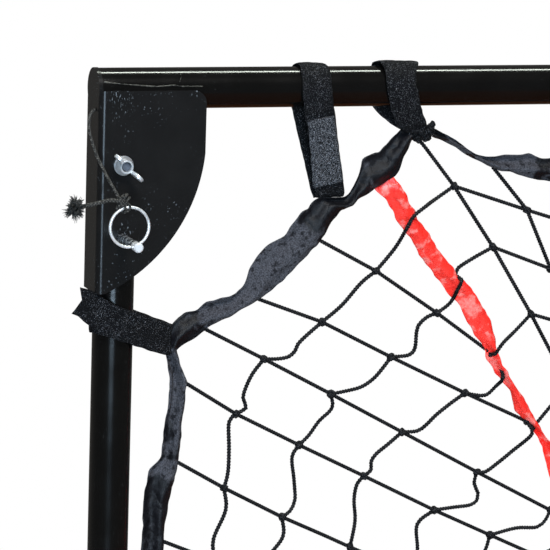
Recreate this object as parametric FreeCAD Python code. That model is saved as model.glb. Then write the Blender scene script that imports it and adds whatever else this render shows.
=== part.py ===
"""Golf chipping net: a folding steel tube frame that carries a knotted net bag.

Millimetres. X runs across the frame, +Z is up, and the player stands on the -Y side.
The origin is the middle of the ground plane under the frame.
The left and right corners differ in one way: the right pivot sits one fold step lower,
so that the two legs lie one under the other when both are folded.
"""
import FreeCAD
import Part
import math
import os

from FreeCAD import Vector

os.makedirs("parts", exist_ok=True)

# Tube frame
TUBE_DIA = 25.4
TUBE_WALL = 1.2
FRAME_WIDTH = 914.4          # over the outer faces of the two brackets
LEG_LENGTH = 808.5           # left pivot to the axis of the foot
LEG_TOP_GAP = 0.9            # rounded top of a leg to the spine that stops it
FOOT_LENGTH = 540.0
FOLD_GAP = 2.6               # between the two folded legs
RUN_GAP = 0.3                # between faces that slide past each other
FIT_GAP = 0.05               # between pieces that are pushed or screwed together

# Corner bracket, folded from sheet
SHEET = 2.5
BEND_RADIUS = 4.0            # outside of the fold
PLATE_WIDTH = 68.0
PLATE_STRAIGHT = 39.0        # straight inner edge below the bar's axis
PLATE_DROP = 125.0
PLATE_BULGE = 14.7           # height of the curved edge over its chord
PLATE_CORNER = 8.0
PLATE_TOE = 5.0              # flat left at the foot of the curved edge
PIVOT_DROP = 45.5            # left pivot below the bar's axis
PIN_DROP = 90.5              # left lock pin below the bar's axis
PIN_STEP = 14.0              # how much lower the right lock pin sits
TETHER_HOLE_DIA = 2.6
TETHER_HOLE_DROP = 12.0
TETHER_HOLE_FORWARD = 7.0

# Pivot bolt, washer and wing nut
BOLT_DIA = 6.0
BOLT_HEAD_DIA = 14.0
BOLT_HEAD_RISE = 3.4
DOME_STEPS = 3
BOLT_CLEARANCE = 0.1
WASHER_DIA = 12.0
WASHER_THICKNESS = 1.2
HUB_BASE_DIA = 11.6
HUB_TOP_DIA = 8.6
HUB_HEIGHT = 6.5
WING_SPAN = 24.0
WING_THICKNESS = 2.2
WING_RISE = 14.0
WING_RADIUS = 4.6
WING_TURN = 43.0             # degrees that the wings have turned from level
BOLT_END = 1.0               # thread that stands out of the nut

# Lock pin and its ring
PIN_DIA = 6.0
PIN_CLEARANCE = 0.25
PIN_LENGTH = 38.5
PIN_SEAT = 2.1               # how far the drawn pin still sits in the front plate
PIN_CHAMFER = 0.8
RING_RADIUS = 12.2           # to the middle of the wire
RING_WIRE = 1.6
RING_SIDES = 8               # of the wire's section
RING_HOLE_DIA = 3.0
RING_SETBACK = 8.0           # ring hole from the head end of the pin
RING_LEAN = 18.5             # degrees

# Foot caps
CAP_WALL = 1.9
CAP_LENGTH = 30.0
CAP_END = 3.0
CAP_FLAT = 0.7               # depth of the flat that stands on the ground

# Net
CORD_DIA = 2.4
MESH = 75.0
LEAST_MESH = 0.12            # share of a whole mesh below which a cut one is left out
NET_DEPTH = 80.0
PANEL_GAP = 0.5
PANEL_REACH = 0.045          # share by which a wall starts outside the opening, under the tape
OPEN_FROM_LEG = 35.7         # straight side of the opening to the leg's axis
OPEN_TOP_DROP = 40.0         # top edge of the opening below the bar's axis
OPEN_BOTTOM_RISE = 70.0      # bottom edge of the opening above the ground
UPPER_CORNER_RUN = 156.0     # width and height that each slanted corner cuts off the opening
UPPER_CORNER_FALL = 98.0
LOWER_CORNER_RUN = 106.0
LOWER_CORNER_FALL = 95.0
BACK_FROM_SIDE = 216.0       # edges of the back in from the same edges of the opening
BACK_FROM_TOP = 308.0
BACK_OVER_LOWER_CORNER = 10.0
BACK_UPPER_RUN = 110.0       # width that each slanted corner cuts off the back
BACK_LOWER_RUN = 80.0

# Border tape and target ribbons
TAPE_WIDTH = 16.0
TAPE_THICKNESS = 1.5
RIBBON_WIDTH = 14.0
RIBBON_THICKNESS = 0.8
RIBBON_LIFT = 2.6
RIBBON_CROSSING = 0.4
RIBBON_SETBACK = 20.0        # ribbon's end from the middle of the tape
TARGET_RISE = 400.0          # where the two ribbons cross
# Along each edge of the opening's left half: share of its length, and how far the tape hangs inward
EDGE_SAGS = {
    "top": ((0.0, 0.0), (0.38, 14.0), (0.76, 10.0)),
    "upper_corner": ((0.0, 0.0), (0.32, 0.5), (0.65, 5.0)),
    "side": ((0.0, 0.0), (0.11, 3.0), (0.23, -4.0), (0.51, -8.0), (0.73, -1.0)),
    "lower_corner": ((0.0, 0.0), (0.5, -2.0)),
    "bottom": ((0.0, 0.0), (0.5, -5.0), (1.0, -7.0)),
}
TAPE_EDGES = {"border_top": ("top",),
              "border_side": ("upper_corner", "side", "lower_corner"),
              "border_bottom": ("bottom",)}

# Hook-and-loop straps
STRAP_WIDTH = 19.0
STRAP_THICKNESS = 1.5
OUTER_STRAP_RUN = 67.0       # bar straps past the upper corner of the opening
INNER_STRAP_RUN = 15.0
STRAP_FROM_CORNER = 14.0     # leg strap's middle past a corner of the opening
MIDDLE_STRAP_RISE = 440.0
HEEL_STEPS = 8               # flats in the half turn round the tube
NOSE_STEPS = 3

# Tether from the bracket to the ring
TETHER_DIA = 2.0
TETHER_ROUTE = [             # out from the bracket's outer face, y, down from the bar's axis
    (-1.0, -7.0, -12.0),
    (-4.6, -8.5, -14.0),
    (-6.3, -13.0, -24.0),
    (-3.6, -21.0, -38.0),
    (0.5, -33.0, -50.5),
    (3.6, -40.5, -58.0),
]
TETHER_END_GAP = 0.3
TETHER_SIDES = 6
BEND_SHARE = 0.45            # part of the shorter run that a bend may use

# Sizes that follow from the ones above
TUBE_R = TUBE_DIA / 2
CHANNEL_HALF = TUBE_R + RUN_GAP
PLATE_FACE = CHANNEL_HALF + SHEET
CAP_R = TUBE_R + FIT_GAP + CAP_WALL
FOOT_Z = CAP_R - CAP_FLAT
LEG_X = FRAME_WIDTH / 2 - SHEET - RUN_GAP - TUBE_R
BAR_Z = FOOT_Z + LEG_LENGTH + PIVOT_DROP
FOLD_STEP = TUBE_DIA + FOLD_GAP
STRAP_NOSE = TAPE_THICKNESS / 2 + RUN_GAP
OPEN_SIDE_HALF = LEG_X - OPEN_FROM_LEG
OPEN_TOP_HALF = OPEN_SIDE_HALF - UPPER_CORNER_RUN
OPEN_BOTTOM_HALF = OPEN_SIDE_HALF - LOWER_CORNER_RUN
OPEN_TOP = BAR_Z - OPEN_TOP_DROP
UPPER_CORNER = OPEN_TOP - UPPER_CORNER_FALL
LOWER_CORNER = OPEN_BOTTOM_RISE + LOWER_CORNER_FALL
BAR_STRAPS = {"outer": -OPEN_TOP_HALF - OUTER_STRAP_RUN, "inner": -OPEN_TOP_HALF - INNER_STRAP_RUN}
LEG_STRAPS = {"upper": UPPER_CORNER - STRAP_FROM_CORNER,
              "middle": MIDDLE_STRAP_RISE,
              "lower": LOWER_CORNER + STRAP_FROM_CORNER}
NUT_SEAT = PLATE_FACE + WASHER_THICKNESS + 2 * FIT_GAP
NUT_FACE = NUT_SEAT + HUB_HEIGHT
PIN_TIP = -PLATE_FACE + PIN_SEAT
PIN_HEAD = PIN_TIP - PIN_LENGTH
RING_Y = PIN_HEAD + RING_SETBACK

X_AXIS = Vector(1, 0, 0)
Y_AXIS = Vector(0, 1, 0)
Z_AXIS = Vector(0, 0, 1)
# One side of the frame: its sign along X, and how far its pivot and its lock pin sit below the bar
SIDES = {"left": (-1, PIVOT_DROP, PIN_DROP),
         "right": (1, PIVOT_DROP + FOLD_STEP, PIN_DROP + PIN_STEP)}


def save(node, shape):
    shape = shape.removeSplitter()
    shape.exportStep(os.path.join("parts", node + ".step"))
    print(node, "solids", len(shape.Solids), "volume", round(shape.Volume, 1))


def rod(radius, start, direction, length):
    return Part.makeCylinder(radius, length, start, direction)


def tube(radius, bore, start, direction, length):
    return rod(radius, start, direction, length).cut(rod(bore, start, direction, length))


def across(radius, x, z, half_length=2 * PLATE_FACE):
    """A rod along Y through (x, z), used for bores."""
    return rod(radius, Vector(x, -half_length, z), Y_AXIS, 2 * half_length)


def polygon_wire(points):
    return Part.makePolygon(list(points) + [points[0]])


def prism(points, push):
    return Part.Face(polygon_wire(points)).extrude(push)


def mirrored(shape, side):
    """The shape drawn for the left side, moved to the side that is asked for."""
    if side < 0:
        return shape
    return shape.mirror(Vector(0, 0, 0), X_AXIS)


# Frame tubes

def top_bar():
    half = FRAME_WIDTH / 2 - SHEET
    start = Vector(-half, 0, BAR_Z)
    return tube(TUBE_R, TUBE_R - TUBE_WALL, start, X_AXIS, 2 * half)


def leg(pivot_z, pin_z):
    """Leg tube: rounded over the pivot, coped to sit on the foot tube."""
    length = pivot_z - FOOT_Z + TUBE_R
    shape = tube(TUBE_R, TUBE_R - TUBE_WALL, Vector(-LEG_X, 0, FOOT_Z), Z_AXIS, length)
    corner = Part.makeBox(TUBE_DIA, TUBE_DIA, TUBE_DIA, Vector(-LEG_X - TUBE_R, -TUBE_R, pivot_z))
    rounding = corner.cut(across(CHANNEL_HALF - LEG_TOP_GAP, -LEG_X, pivot_z))
    shape = shape.cut(rounding)
    shape = shape.cut(across(TUBE_R + FIT_GAP, -LEG_X, FOOT_Z))
    shape = shape.cut(across(BOLT_DIA / 2 + BOLT_CLEARANCE, -LEG_X, pivot_z))
    return shape.cut(across(PIN_DIA / 2 + PIN_CLEARANCE, -LEG_X, pin_z))


def foot():
    start = Vector(-LEG_X, -FOOT_LENGTH / 2, FOOT_Z)
    return tube(TUBE_R, TUBE_R - TUBE_WALL, start, Y_AXIS, FOOT_LENGTH)


def foot_cap(end):
    """Moulded cap pushed over one end of the foot tube, with a flat that stands on the ground."""
    start = Vector(-LEG_X, end * (FOOT_LENGTH / 2 + CAP_END), FOOT_Z)
    inward = Y_AXIS * -end
    shell = rod(CAP_R, start, inward, CAP_LENGTH)
    rim = [edge for edge in shell.Edges if abs(edge.CenterOfMass.y - start.y) < FIT_GAP]
    shell = shell.makeChamfer(CAP_WALL, rim)
    bore = rod(TUBE_R + FIT_GAP, start + inward * CAP_END, inward, CAP_LENGTH)
    below = Part.makeBox(4 * CAP_R, 4 * CAP_LENGTH, CAP_R,
                         Vector(-LEG_X - 2 * CAP_R, start.y - 2 * CAP_LENGTH, -CAP_R))
    return shell.cut(bore).cut(below)


# Corner bracket

def plate_outline():
    """Side view of the bracket's plates: square top, straight inner edge, curved lower edge."""
    spine = -FRAME_WIDTH / 2
    inner = spine + PLATE_WIDTH
    straight_end = Vector(inner, 0, BAR_Z - PLATE_STRAIGHT)
    toe = Vector(spine + PLATE_TOE, 0, BAR_Z - PLATE_DROP)
    chord = toe - straight_end
    out = Vector(-chord.z, 0, chord.x).normalize()
    crown = (straight_end + toe) * 0.5 + out * PLATE_BULGE
    corner = Vector(inner - PLATE_CORNER, 0, BAR_Z - PLATE_CORNER)
    corner_mid = corner + Vector(1, 0, 1).normalize() * PLATE_CORNER
    corner_top = Vector(corner.x, 0, BAR_Z)
    corner_side = Vector(inner, 0, corner.z)
    top_left = Vector(spine, 0, BAR_Z)
    bottom_left = Vector(spine, 0, toe.z)
    edges = [
        Part.LineSegment(top_left, corner_top).toShape(),
        Part.Arc(corner_top, corner_mid, corner_side).toShape(),
        Part.LineSegment(corner_side, straight_end).toShape(),
        Part.Arc(straight_end, crown, toe).toShape(),
        Part.LineSegment(toe, bottom_left).toShape(),
        Part.LineSegment(bottom_left, top_left).toShape(),
    ]
    return Part.Face(Part.Wire(edges))


def channel(drop):
    """Sheet folded into a U that is open towards the middle of the frame."""
    spine = -FRAME_WIDTH / 2
    base = Vector(spine, -PLATE_FACE, BAR_Z - drop)
    outer = Part.makeBox(PLATE_WIDTH, 2 * PLATE_FACE, drop, base)
    folds = [edge for edge in outer.Edges
             if edge.Length > drop - FIT_GAP and abs(edge.CenterOfMass.x - spine) < FIT_GAP]
    outer = outer.makeFillet(BEND_RADIUS, folds)
    inside = base + Vector(SHEET, SHEET, 0)
    inner = Part.makeBox(PLATE_WIDTH, 2 * CHANNEL_HALF, drop, inside)
    folds = [edge for edge in inner.Edges
             if edge.Length > drop - FIT_GAP and abs(edge.CenterOfMass.x - inside.x) < FIT_GAP]
    return outer.cut(inner.makeFillet(BEND_RADIUS - SHEET, folds))


def corner_bracket(pivot_z, pin_z):
    outline = plate_outline()
    outline.translate(Vector(0, -PLATE_FACE, 0))
    shape = channel(PLATE_DROP).common(outline.extrude(Y_AXIS * (2 * PLATE_FACE)))
    spine = -FRAME_WIDTH / 2
    tongue = rod(CHANNEL_HALF, Vector(spine, 0, BAR_Z), X_AXIS, SHEET)
    shape = shape.fuse(tongue)
    bar_room = rod(TUBE_R + FIT_GAP, Vector(spine + SHEET, 0, BAR_Z), X_AXIS, PLATE_WIDTH)
    shape = shape.cut(bar_room)
    shape = shape.cut(across(BOLT_DIA / 2 + BOLT_CLEARANCE, -LEG_X, pivot_z))
    shape = shape.cut(across(PIN_DIA / 2 + PIN_CLEARANCE, -LEG_X, pin_z))
    eye_start = Vector(spine - SHEET, -TETHER_HOLE_FORWARD, BAR_Z - TETHER_HOLE_DROP)
    return shape.cut(rod(TETHER_HOLE_DIA / 2, eye_start, X_AXIS, 3 * SHEET))


# Pivot hardware

def pivot_bolt(z):
    """Dome-headed bolt from behind, with its thread end in the wing nut. The dome is in steps."""
    back = PLATE_FACE + FIT_GAP
    shank = rod(BOLT_DIA / 2, Vector(-LEG_X, -NUT_FACE - BOLT_END, z), Y_AXIS,
                NUT_FACE + BOLT_END + back)
    head_r = BOLT_HEAD_DIA / 2
    ball_r = (head_r ** 2 + BOLT_HEAD_RISE ** 2) / (2 * BOLT_HEAD_RISE)
    sink = ball_r - BOLT_HEAD_RISE
    full = math.acos(sink / ball_r)
    angles = [full * (1 - step / DOME_STEPS) for step in range(DOME_STEPS + 1)]
    rings = [Vector(-LEG_X + ball_r * math.sin(angle), back + ball_r * math.cos(angle) - sink, z)
             for angle in angles]
    centre = Vector(-LEG_X, back, z)
    profile = Part.Face(polygon_wire([centre] + rings))
    return shank.fuse(profile.revolve(centre, Y_AXIS, 360))


def pivot_washer(z):
    start = Vector(-LEG_X, -PLATE_FACE - FIT_GAP, z)
    bore = BOLT_DIA / 2 + BOLT_CLEARANCE
    return tube(WASHER_DIA / 2, bore, start, Y_AXIS * -1, WASHER_THICKNESS)


def wing_nut(z):
    """Tapered hub with two rounded wings that rise past it."""
    seat = Vector(-LEG_X, -NUT_SEAT, z)
    hub = Part.makeCone(HUB_BASE_DIA / 2, HUB_TOP_DIA / 2, HUB_HEIGHT, seat, Y_AXIS * -1)
    reach = WING_SPAN / 2 - WING_RADIUS
    for way in (-1, 1):
        centre = seat + Vector(way * reach, WING_RADIUS - WING_RISE, 0)
        disc = rod(WING_RADIUS, centre - Z_AXIS * (WING_THICKNESS / 2), Z_AXIS, WING_THICKNESS)
        root = seat + Vector(way * BOLT_DIA / 2, -SHEET / 2, 0)
        rise = Vector(0, -HUB_HEIGHT + SHEET, 0)
        side = Vector(0, 0, WING_THICKNESS / 2)
        web_points = [root - side, root + rise - side,
                      centre + Vector(-way * WING_RADIUS / 2, -WING_RADIUS * math.sqrt(3) / 2, 0) - side,
                      centre + Vector(way * WING_RADIUS / 2, WING_RADIUS * math.sqrt(3) / 2, 0) - side]
        hub = hub.fuse(disc).fuse(prism(web_points, side * 2))
    hub = hub.cut(across(BOLT_DIA / 2 + FIT_GAP, seat.x, seat.z))
    hub.rotate(seat, Y_AXIS, WING_TURN)
    return hub


# Lock pin, ring and tether

def ring_direction():
    """From the pin's ring hole to the middle of the ring."""
    lean = math.radians(RING_LEAN)
    return Vector(-math.sin(lean), 0, math.cos(lean))


def ring_centre(z):
    return Vector(-LEG_X, RING_Y, z) + ring_direction() * RING_RADIUS


def lock_pin(z):
    """Plain pin, chamfered at both ends and cross-drilled for its ring."""
    shape = rod(PIN_DIA / 2, Vector(-LEG_X, PIN_HEAD, z), Y_AXIS, PIN_LENGTH)
    rims = [edge for edge in shape.Edges if len(edge.Vertexes) == 1]
    shape = shape.makeChamfer(PIN_CHAMFER, rims)
    along = ring_direction().cross(Y_AXIS)
    start = Vector(-LEG_X, RING_Y, z) - along * PIN_DIA
    return shape.cut(rod(RING_HOLE_DIA / 2, start, along, 2 * PIN_DIA))


def flat_sided(centre, across_way, up_way, radius, sides):
    """Wire of a regular section round a centre, with the area of the round one."""
    out = radius * math.sqrt(2 * math.pi / sides / math.sin(2 * math.pi / sides))
    turns = [2 * math.pi * (i + 0.5) / sides for i in range(sides)]
    return polygon_wire([centre + across_way * (out * math.cos(turn)) + up_way * (out * math.sin(turn))
                         for turn in turns])


def pull_ring(z):
    centre = ring_centre(z)
    wire_middle = centre + X_AXIS * RING_RADIUS
    section = Part.Face(flat_sided(wire_middle, X_AXIS, Y_AXIS, RING_WIRE / 2, RING_SIDES))
    return section.revolve(centre, Y_AXIS, 360)


def tether_points(z):
    spine = -FRAME_WIDTH / 2
    points = [Vector(spine + out, y, BAR_Z + down) for out, y, down in TETHER_ROUTE]
    reach = RING_RADIUS + RING_WIRE / 2 + TETHER_DIA / 2 + TETHER_END_GAP
    points.append(ring_centre(z) + ring_direction() * reach)
    return points


def cord_path(points):
    """Straight runs joined by tangent arcs as large as the runs allow."""
    edges = []
    last = points[0]
    for before, here, after in zip(points, points[1:], points[2:]):
        into = (here - before).normalize()
        out = (after - here).normalize()
        half_turn = into.getAngle(out) / 2
        shorter = min((here - before).Length, (after - here).Length)
        setback = BEND_SHARE * shorter
        radius = setback / math.tan(half_turn)
        print("  bend radius", round(radius, 1))
        start = here - into * setback
        end = here + out * setback
        sagitta = radius * (1 / math.cos(half_turn) - 1)
        middle = here + (out - into).normalize() * sagitta
        edges.append(Part.LineSegment(last, start).toShape())
        edges.append(Part.Arc(start, middle, end).toShape())
        last = end
    edges.append(Part.LineSegment(last, points[-1]).toShape())
    return Part.Wire(edges)


def tether(z):
    points = tether_points(z)
    path = cord_path(points)
    first_run = (points[1] - points[0]).normalize()
    sideways = first_run.cross(Z_AXIS).normalize()
    section = flat_sided(points[0], sideways, first_run.cross(sideways), TETHER_DIA / 2, TETHER_SIDES)
    shape = path.makePipeShell([section], True, False)
    print("  tether length", round(path.Length, 1), "volume over section",
          round(shape.Volume / (math.pi * TETHER_DIA ** 2 / 4), 1))
    return shape


# Net bag: eight sloping walls and a back, each a flat holed face

def inset(points, distances):
    """A flat convex polygon, in (u, v), with each side moved inward by its own distance."""
    sides = []
    for a, b, distance in zip(points, points[1:] + points[:1], distances):
        along = (b[0] - a[0], b[1] - a[1])
        size = math.hypot(*along)
        normal = (-along[1] / size, along[0] / size)
        sides.append((normal, normal[0] * a[0] + normal[1] * a[1] + distance))
    corners = []
    for (n1, d1), (n2, d2) in zip(sides[-1:] + sides[:-1], sides):
        det = n1[0] * n2[1] - n1[1] * n2[0]
        corners.append(((d1 * n2[1] - d2 * n1[1]) / det, (n1[0] * d2 - n2[0] * d1) / det))
    return corners


def netting(origin, u_axis, v_axis, outline, cells):
    """Net panel: a holed face in the plane of u and v, as thick as the cord."""
    normal = u_axis.cross(v_axis)

    def wire(points):
        return polygon_wire([origin + u_axis * u + v_axis * v - normal * (CORD_DIA / 2)
                             for u, v in points])

    holes = [wire(inset(cell, [CORD_DIA / 2] * len(cell))) for cell in cells]
    wires = Part.makeCompound([wire(outline)] + holes)
    face = Part.makeFace(wires, "Part::FaceMakerBullseye")
    return face.extrude(normal * CORD_DIA)


def edge_setback(turn):
    """How far a panel stops short of the line where it meets a panel turned by this angle."""
    return (PANEL_GAP + CORD_DIA * math.sin(turn / 2)) / (2 * math.cos(turn / 2))


def wall_normal(front_a, front_b, back_b, back_a):
    return (front_b - front_a).cross(back_a - front_a).normalize()


def net_wall(front_a, front_b, back_b, back_a, setbacks):
    """Trapezoid wall between an edge of the opening and the parallel edge of the back."""
    u_axis = (front_b - front_a).normalize()
    across_wall = back_a - front_a
    v_axis = (across_wall - u_axis * across_wall.dot(u_axis)).normalize()
    flat = []
    for corner in (front_a, front_b, back_b, back_a):
        flat.append(((corner - front_a).dot(u_axis), (corner - front_a).dot(v_axis)))
    outline = inset(flat, setbacks)
    columns = max(2, round((outline[1][0] - outline[0][0] + outline[2][0] - outline[3][0]) / 2 / MESH))
    rows = max(1, round((outline[3][1] - outline[0][1]) / MESH))
    rim = inset(outline, [CORD_DIA / 2] * len(outline))

    def at(i, j):
        s = i / columns
        t = j / rows
        low = [rim[0][k] + (rim[1][k] - rim[0][k]) * s for k in (0, 1)]
        high = [rim[3][k] + (rim[2][k] - rim[3][k]) * s for k in (0, 1)]
        return (low[0] + (high[0] - low[0]) * t, low[1] + (high[1] - low[1]) * t)

    cells = [[at(i, j), at(i + 1, j), at(i + 1, j + 1), at(i, j + 1)]
             for i in range(columns) for j in range(rows)]
    return netting(front_a, u_axis, v_axis, outline, cells)


def clipped(cell, region):
    """The part of a convex cell that lies inside a convex region, both anticlockwise."""
    for a, b in zip(region, region[1:] + region[:1]):
        kept = []
        depths = [(b[0] - a[0]) * (p[1] - a[1]) - (b[1] - a[1]) * (p[0] - a[0]) for p in cell]
        for i, (point, depth) in enumerate(zip(cell, depths)):
            before, depth_before = cell[i - 1], depths[i - 1]
            if depth * depth_before < 0:
                share = depth_before / (depth_before - depth)
                kept.append((before[0] + (point[0] - before[0]) * share,
                             before[1] + (point[1] - before[1]) * share))
            if depth >= 0:
                kept.append(point)
        cell = kept
    return cell


def polygon_area(points):
    return sum(a[0] * b[1] - b[0] * a[1] for a, b in zip(points, points[1:] + points[:1])) / 2


def net_back(back, setbacks):
    """Back panel: an octagon with square meshes, cut off along its slanted corners."""
    outline = inset([(corner.x, corner.z) for corner in back], setbacks)
    rim = inset(outline, [CORD_DIA / 2] * len(outline))
    left = min(u for u, _ in rim)
    low = min(v for _, v in rim)
    width = max(u for u, _ in rim) - left
    height = max(v for _, v in rim) - low
    columns = round(width / MESH)
    rows = round(height / MESH)
    cells = []
    for i in range(columns):
        for j in range(rows):
            u, v = left + i * width / columns, low + j * height / rows
            next_u, next_v = u + width / columns, v + height / rows
            cell = clipped([(u, v), (next_u, v), (next_u, next_v), (u, next_v)], rim)
            cell = [p for k, p in enumerate(cell) if math.dist(p, cell[k - 1]) > CORD_DIA]
            if len(cell) > 2 and polygon_area(cell) > LEAST_MESH * MESH ** 2:
                cells.append(cell)
    return netting(Vector(0, back[0].y, 0), X_AXIS, Z_AXIS, outline, cells)


def octagon(y, top_half, side_half, bottom_half, levels):
    """Corners of the opening or the back, anticlockwise as the player sees them."""
    bottom, lower_corner, upper_corner, top = levels
    return [Vector(x, y, z) for x, z in (
        (-bottom_half, bottom), (bottom_half, bottom),
        (side_half, lower_corner), (side_half, upper_corner),
        (top_half, top), (-top_half, top),
        (-side_half, upper_corner), (-side_half, lower_corner))]


def net_corners():
    """Opening and back of the bag. The back's corner edges lie parallel to the opening's."""
    opening = octagon(0.0, OPEN_TOP_HALF, OPEN_SIDE_HALF, OPEN_BOTTOM_HALF,
                      (OPEN_BOTTOM_RISE, LOWER_CORNER, UPPER_CORNER, OPEN_TOP))
    side = OPEN_SIDE_HALF - BACK_FROM_SIDE
    top = OPEN_TOP - BACK_FROM_TOP
    lower = LOWER_CORNER + BACK_OVER_LOWER_CORNER
    upper = top - BACK_UPPER_RUN * UPPER_CORNER_FALL / UPPER_CORNER_RUN
    bottom = lower - BACK_LOWER_RUN * LOWER_CORNER_FALL / LOWER_CORNER_RUN
    back = octagon(NET_DEPTH, side - BACK_UPPER_RUN, side, side - BACK_LOWER_RUN,
                   (bottom, lower, upper, top))
    return opening, back


WALLS = ["net_bottom", "net_corner_bottom_right", "net_right", "net_corner_top_right",
         "net_top", "net_corner_top_left", "net_left", "net_corner_bottom_left"]


def clear_of(shape, obstacles):
    """What is left of a panel where tape and straps pass, less the loose strips outside them."""
    for obstacle in obstacles:
        if shape.BoundBox.intersect(obstacle.BoundBox):
            shape = shape.cut(obstacle)
    return max(shape.Solids, key=lambda solid: solid.Volume)


def net(obstacles):
    opening, back = net_corners()
    outer = [front + (front - rear) * PANEL_REACH for front, rear in zip(opening, back)]
    walls = []
    for i in range(len(WALLS)):
        k = (i + 1) % len(WALLS)
        walls.append((outer[i], outer[k], back[k], back[i]))
    normals = [wall_normal(*wall) for wall in walls]
    sides = [edge_setback(a.getAngle(b)) for a, b in zip(normals, normals[1:] + normals[:1])]
    backs = [edge_setback(normal.getAngle(Y_AXIS * -1)) for normal in normals]
    for i, node in enumerate(WALLS):
        panel = net_wall(*walls[i], [PANEL_GAP, sides[i], backs[i], sides[i - 1]])
        save(node, clear_of(panel, obstacles))
    save("net_back", net_back(back, backs))


# Border tape round the opening

def border_route():
    """Middle line of the tape's left half from the top middle down, each point with its edge."""
    corners = [Vector(x, 0, z) for x, z in (
        (0, OPEN_TOP), (-OPEN_TOP_HALF, OPEN_TOP), (-OPEN_SIDE_HALF, UPPER_CORNER),
        (-OPEN_SIDE_HALF, LOWER_CORNER), (-OPEN_BOTTOM_HALF, OPEN_BOTTOM_RISE), (0, OPEN_BOTTOM_RISE))]
    route = []
    for (edge, sags), start, end in zip(EDGE_SAGS.items(), corners, corners[1:]):
        along = (end - start).normalize()
        inward = Vector(-along.z, 0, along.x)
        route += [(edge, start + (end - start) * share + inward * sag) for share, sag in sags]
    return route


def tape_edges(names, width):
    """Inner and outer edge of the mitred tape where it follows the named edges of the opening."""
    route = border_route()
    inner = []
    outer = []
    for i, (_, point) in enumerate(route):
        ways = [(route[b][1] - route[a][1]).normalize()
                for a, b in ((i - 1, i), (i, i + 1)) if a >= 0 and b < len(route)]
        mean = (ways[0] + ways[-1]).normalize()
        side = Vector(-mean.z, 0, mean.x) * (width / 2 / mean.dot(ways[0]))
        inner.append(point + side)
        outer.append(point - side)
    on_edges = [i for i, (edge, _) in enumerate(route) if edge in names]
    part = slice(on_edges[0], on_edges[-1] + 2)
    return inner[part], outer[part]


def tape(node, grow=0.0):
    """One stretch of the tape's left half, grown on every face where room for it is wanted."""
    inner, outer = tape_edges(TAPE_EDGES[node], TAPE_WIDTH + 2 * grow)
    thickness = TAPE_THICKNESS + 2 * grow
    return prism([corner - Y_AXIS * (thickness / 2) for corner in inner + outer[::-1]], Y_AXIS * thickness)


def border():
    for node in TAPE_EDGES:
        half = tape(node)
        if node == "border_side":
            save("border_left", half)
            save("border_right", mirrored(half, 1))
        else:
            save(node, half.fuse(mirrored(half, 1)))


# Target ribbons

def target_ribbon(name, way, lift):
    """Flat ribbon from a top corner of the opening, down the bag and across the target."""
    opening, back = net_corners()
    knee = back[5]
    start = opening[5] + (knee - opening[5]).normalize() * RIBBON_SETBACK
    target = Vector(0, NET_DEPTH, TARGET_RISE)
    slope = (knee.z - target.z) / -knee.x
    ledge_slope = (back[2].z - back[1].z) / (back[2].x - back[1].x)
    x = (target.z - back[1].z + ledge_slope * back[1].x) / (slope + ledge_slope)
    share = (x - back[1].x) / (back[2].x - back[1].x)
    exit_knee = back[1] + (back[2] - back[1]) * share
    edge_point = opening[1] + (opening[2] - opening[1]) * share
    end = edge_point + (exit_knee - edge_point).normalize() * RIBBON_SETBACK
    route = [point - Y_AXIS * lift for point in (start, knee, exit_knee, end)]
    whole = route[-1] - route[0]
    side = Vector(-whole.z, 0, whole.x).normalize() * (RIBBON_WIDTH / 2)
    shape = None
    for a, b in zip(route, route[1:]):
        strip = prism([a - side, b - side, b + side, a + side], Y_AXIS * -RIBBON_THICKNESS)
        shape = strip if shape is None else shape.fuse(strip)
    save(name, mirrored(shape, way))


# Hook-and-loop straps

def loop_face(centre, along, across_way, big, small, reach):
    """Taut loop round a tube at the centre and a small round at the end of reach, in short flats."""
    tangent = math.pi / 2 - math.asin((big - small) / reach)
    rounds = ((0.0, big, tangent, 2 * (math.pi - tangent), HEEL_STEPS),
              (reach, small, -tangent, 2 * tangent, NOSE_STEPS))
    points = []
    for middle, radius, start, sweep, steps in rounds:
        step = sweep / steps
        out = radius / math.cos(step / 2)
        for k in range(steps):
            turn = start + (k + 0.5) * step
            points.append(centre + along * (middle + out * math.cos(turn))
                          + across_way * (out * math.sin(turn)))
    return Part.Face(polygon_wire(points))


def strap(centre, along, width_way, reach, grow):
    """Strap round a tube through centre, drawn out along one way. Grown, it is the room it takes."""
    width = STRAP_WIDTH + 2 * grow
    start = centre - width_way * (width / 2)
    body = []
    for extra in (STRAP_THICKNESS + grow, 0.0):
        face = loop_face(start, along, Y_AXIS, TUBE_R + RUN_GAP + extra, STRAP_NOSE + extra, reach)
        body.append(face.extrude(width_way * width))
    return body[0] if grow else body[0].cut(body[1])


def inner_edge_limit(names, key, low, high):
    """Coordinates, across the key axis, of the tape's inner edge where it passes low to high."""
    edge = tape_edges(names, TAPE_WIDTH)[0]
    found = []
    for a, b in zip(edge, edge[1:]):
        first, last = (a.x, b.x) if key == "x" else (a.z, b.z)
        value = (a.z, b.z) if key == "x" else (a.x, b.x)
        start, end = max(low, min(first, last)), min(high, max(first, last))
        if start <= end and first != last:
            for limit in (start, end):
                share = (limit - first) / (last - first)
                found.append(value[0] + (value[1] - value[0]) * share)
    return found


def bar_strap(x, grow=0.0):
    """The loop's narrow end takes in the tape over the whole width of the strap."""
    left = x - STRAP_WIDTH / 2
    right = min(0.0, x + STRAP_WIDTH / 2)
    reach = BAR_Z - min(inner_edge_limit(("top", "upper_corner"), "x", left, right))
    return strap(Vector(x, 0, BAR_Z), Z_AXIS * -1, X_AXIS, reach, grow)


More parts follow.
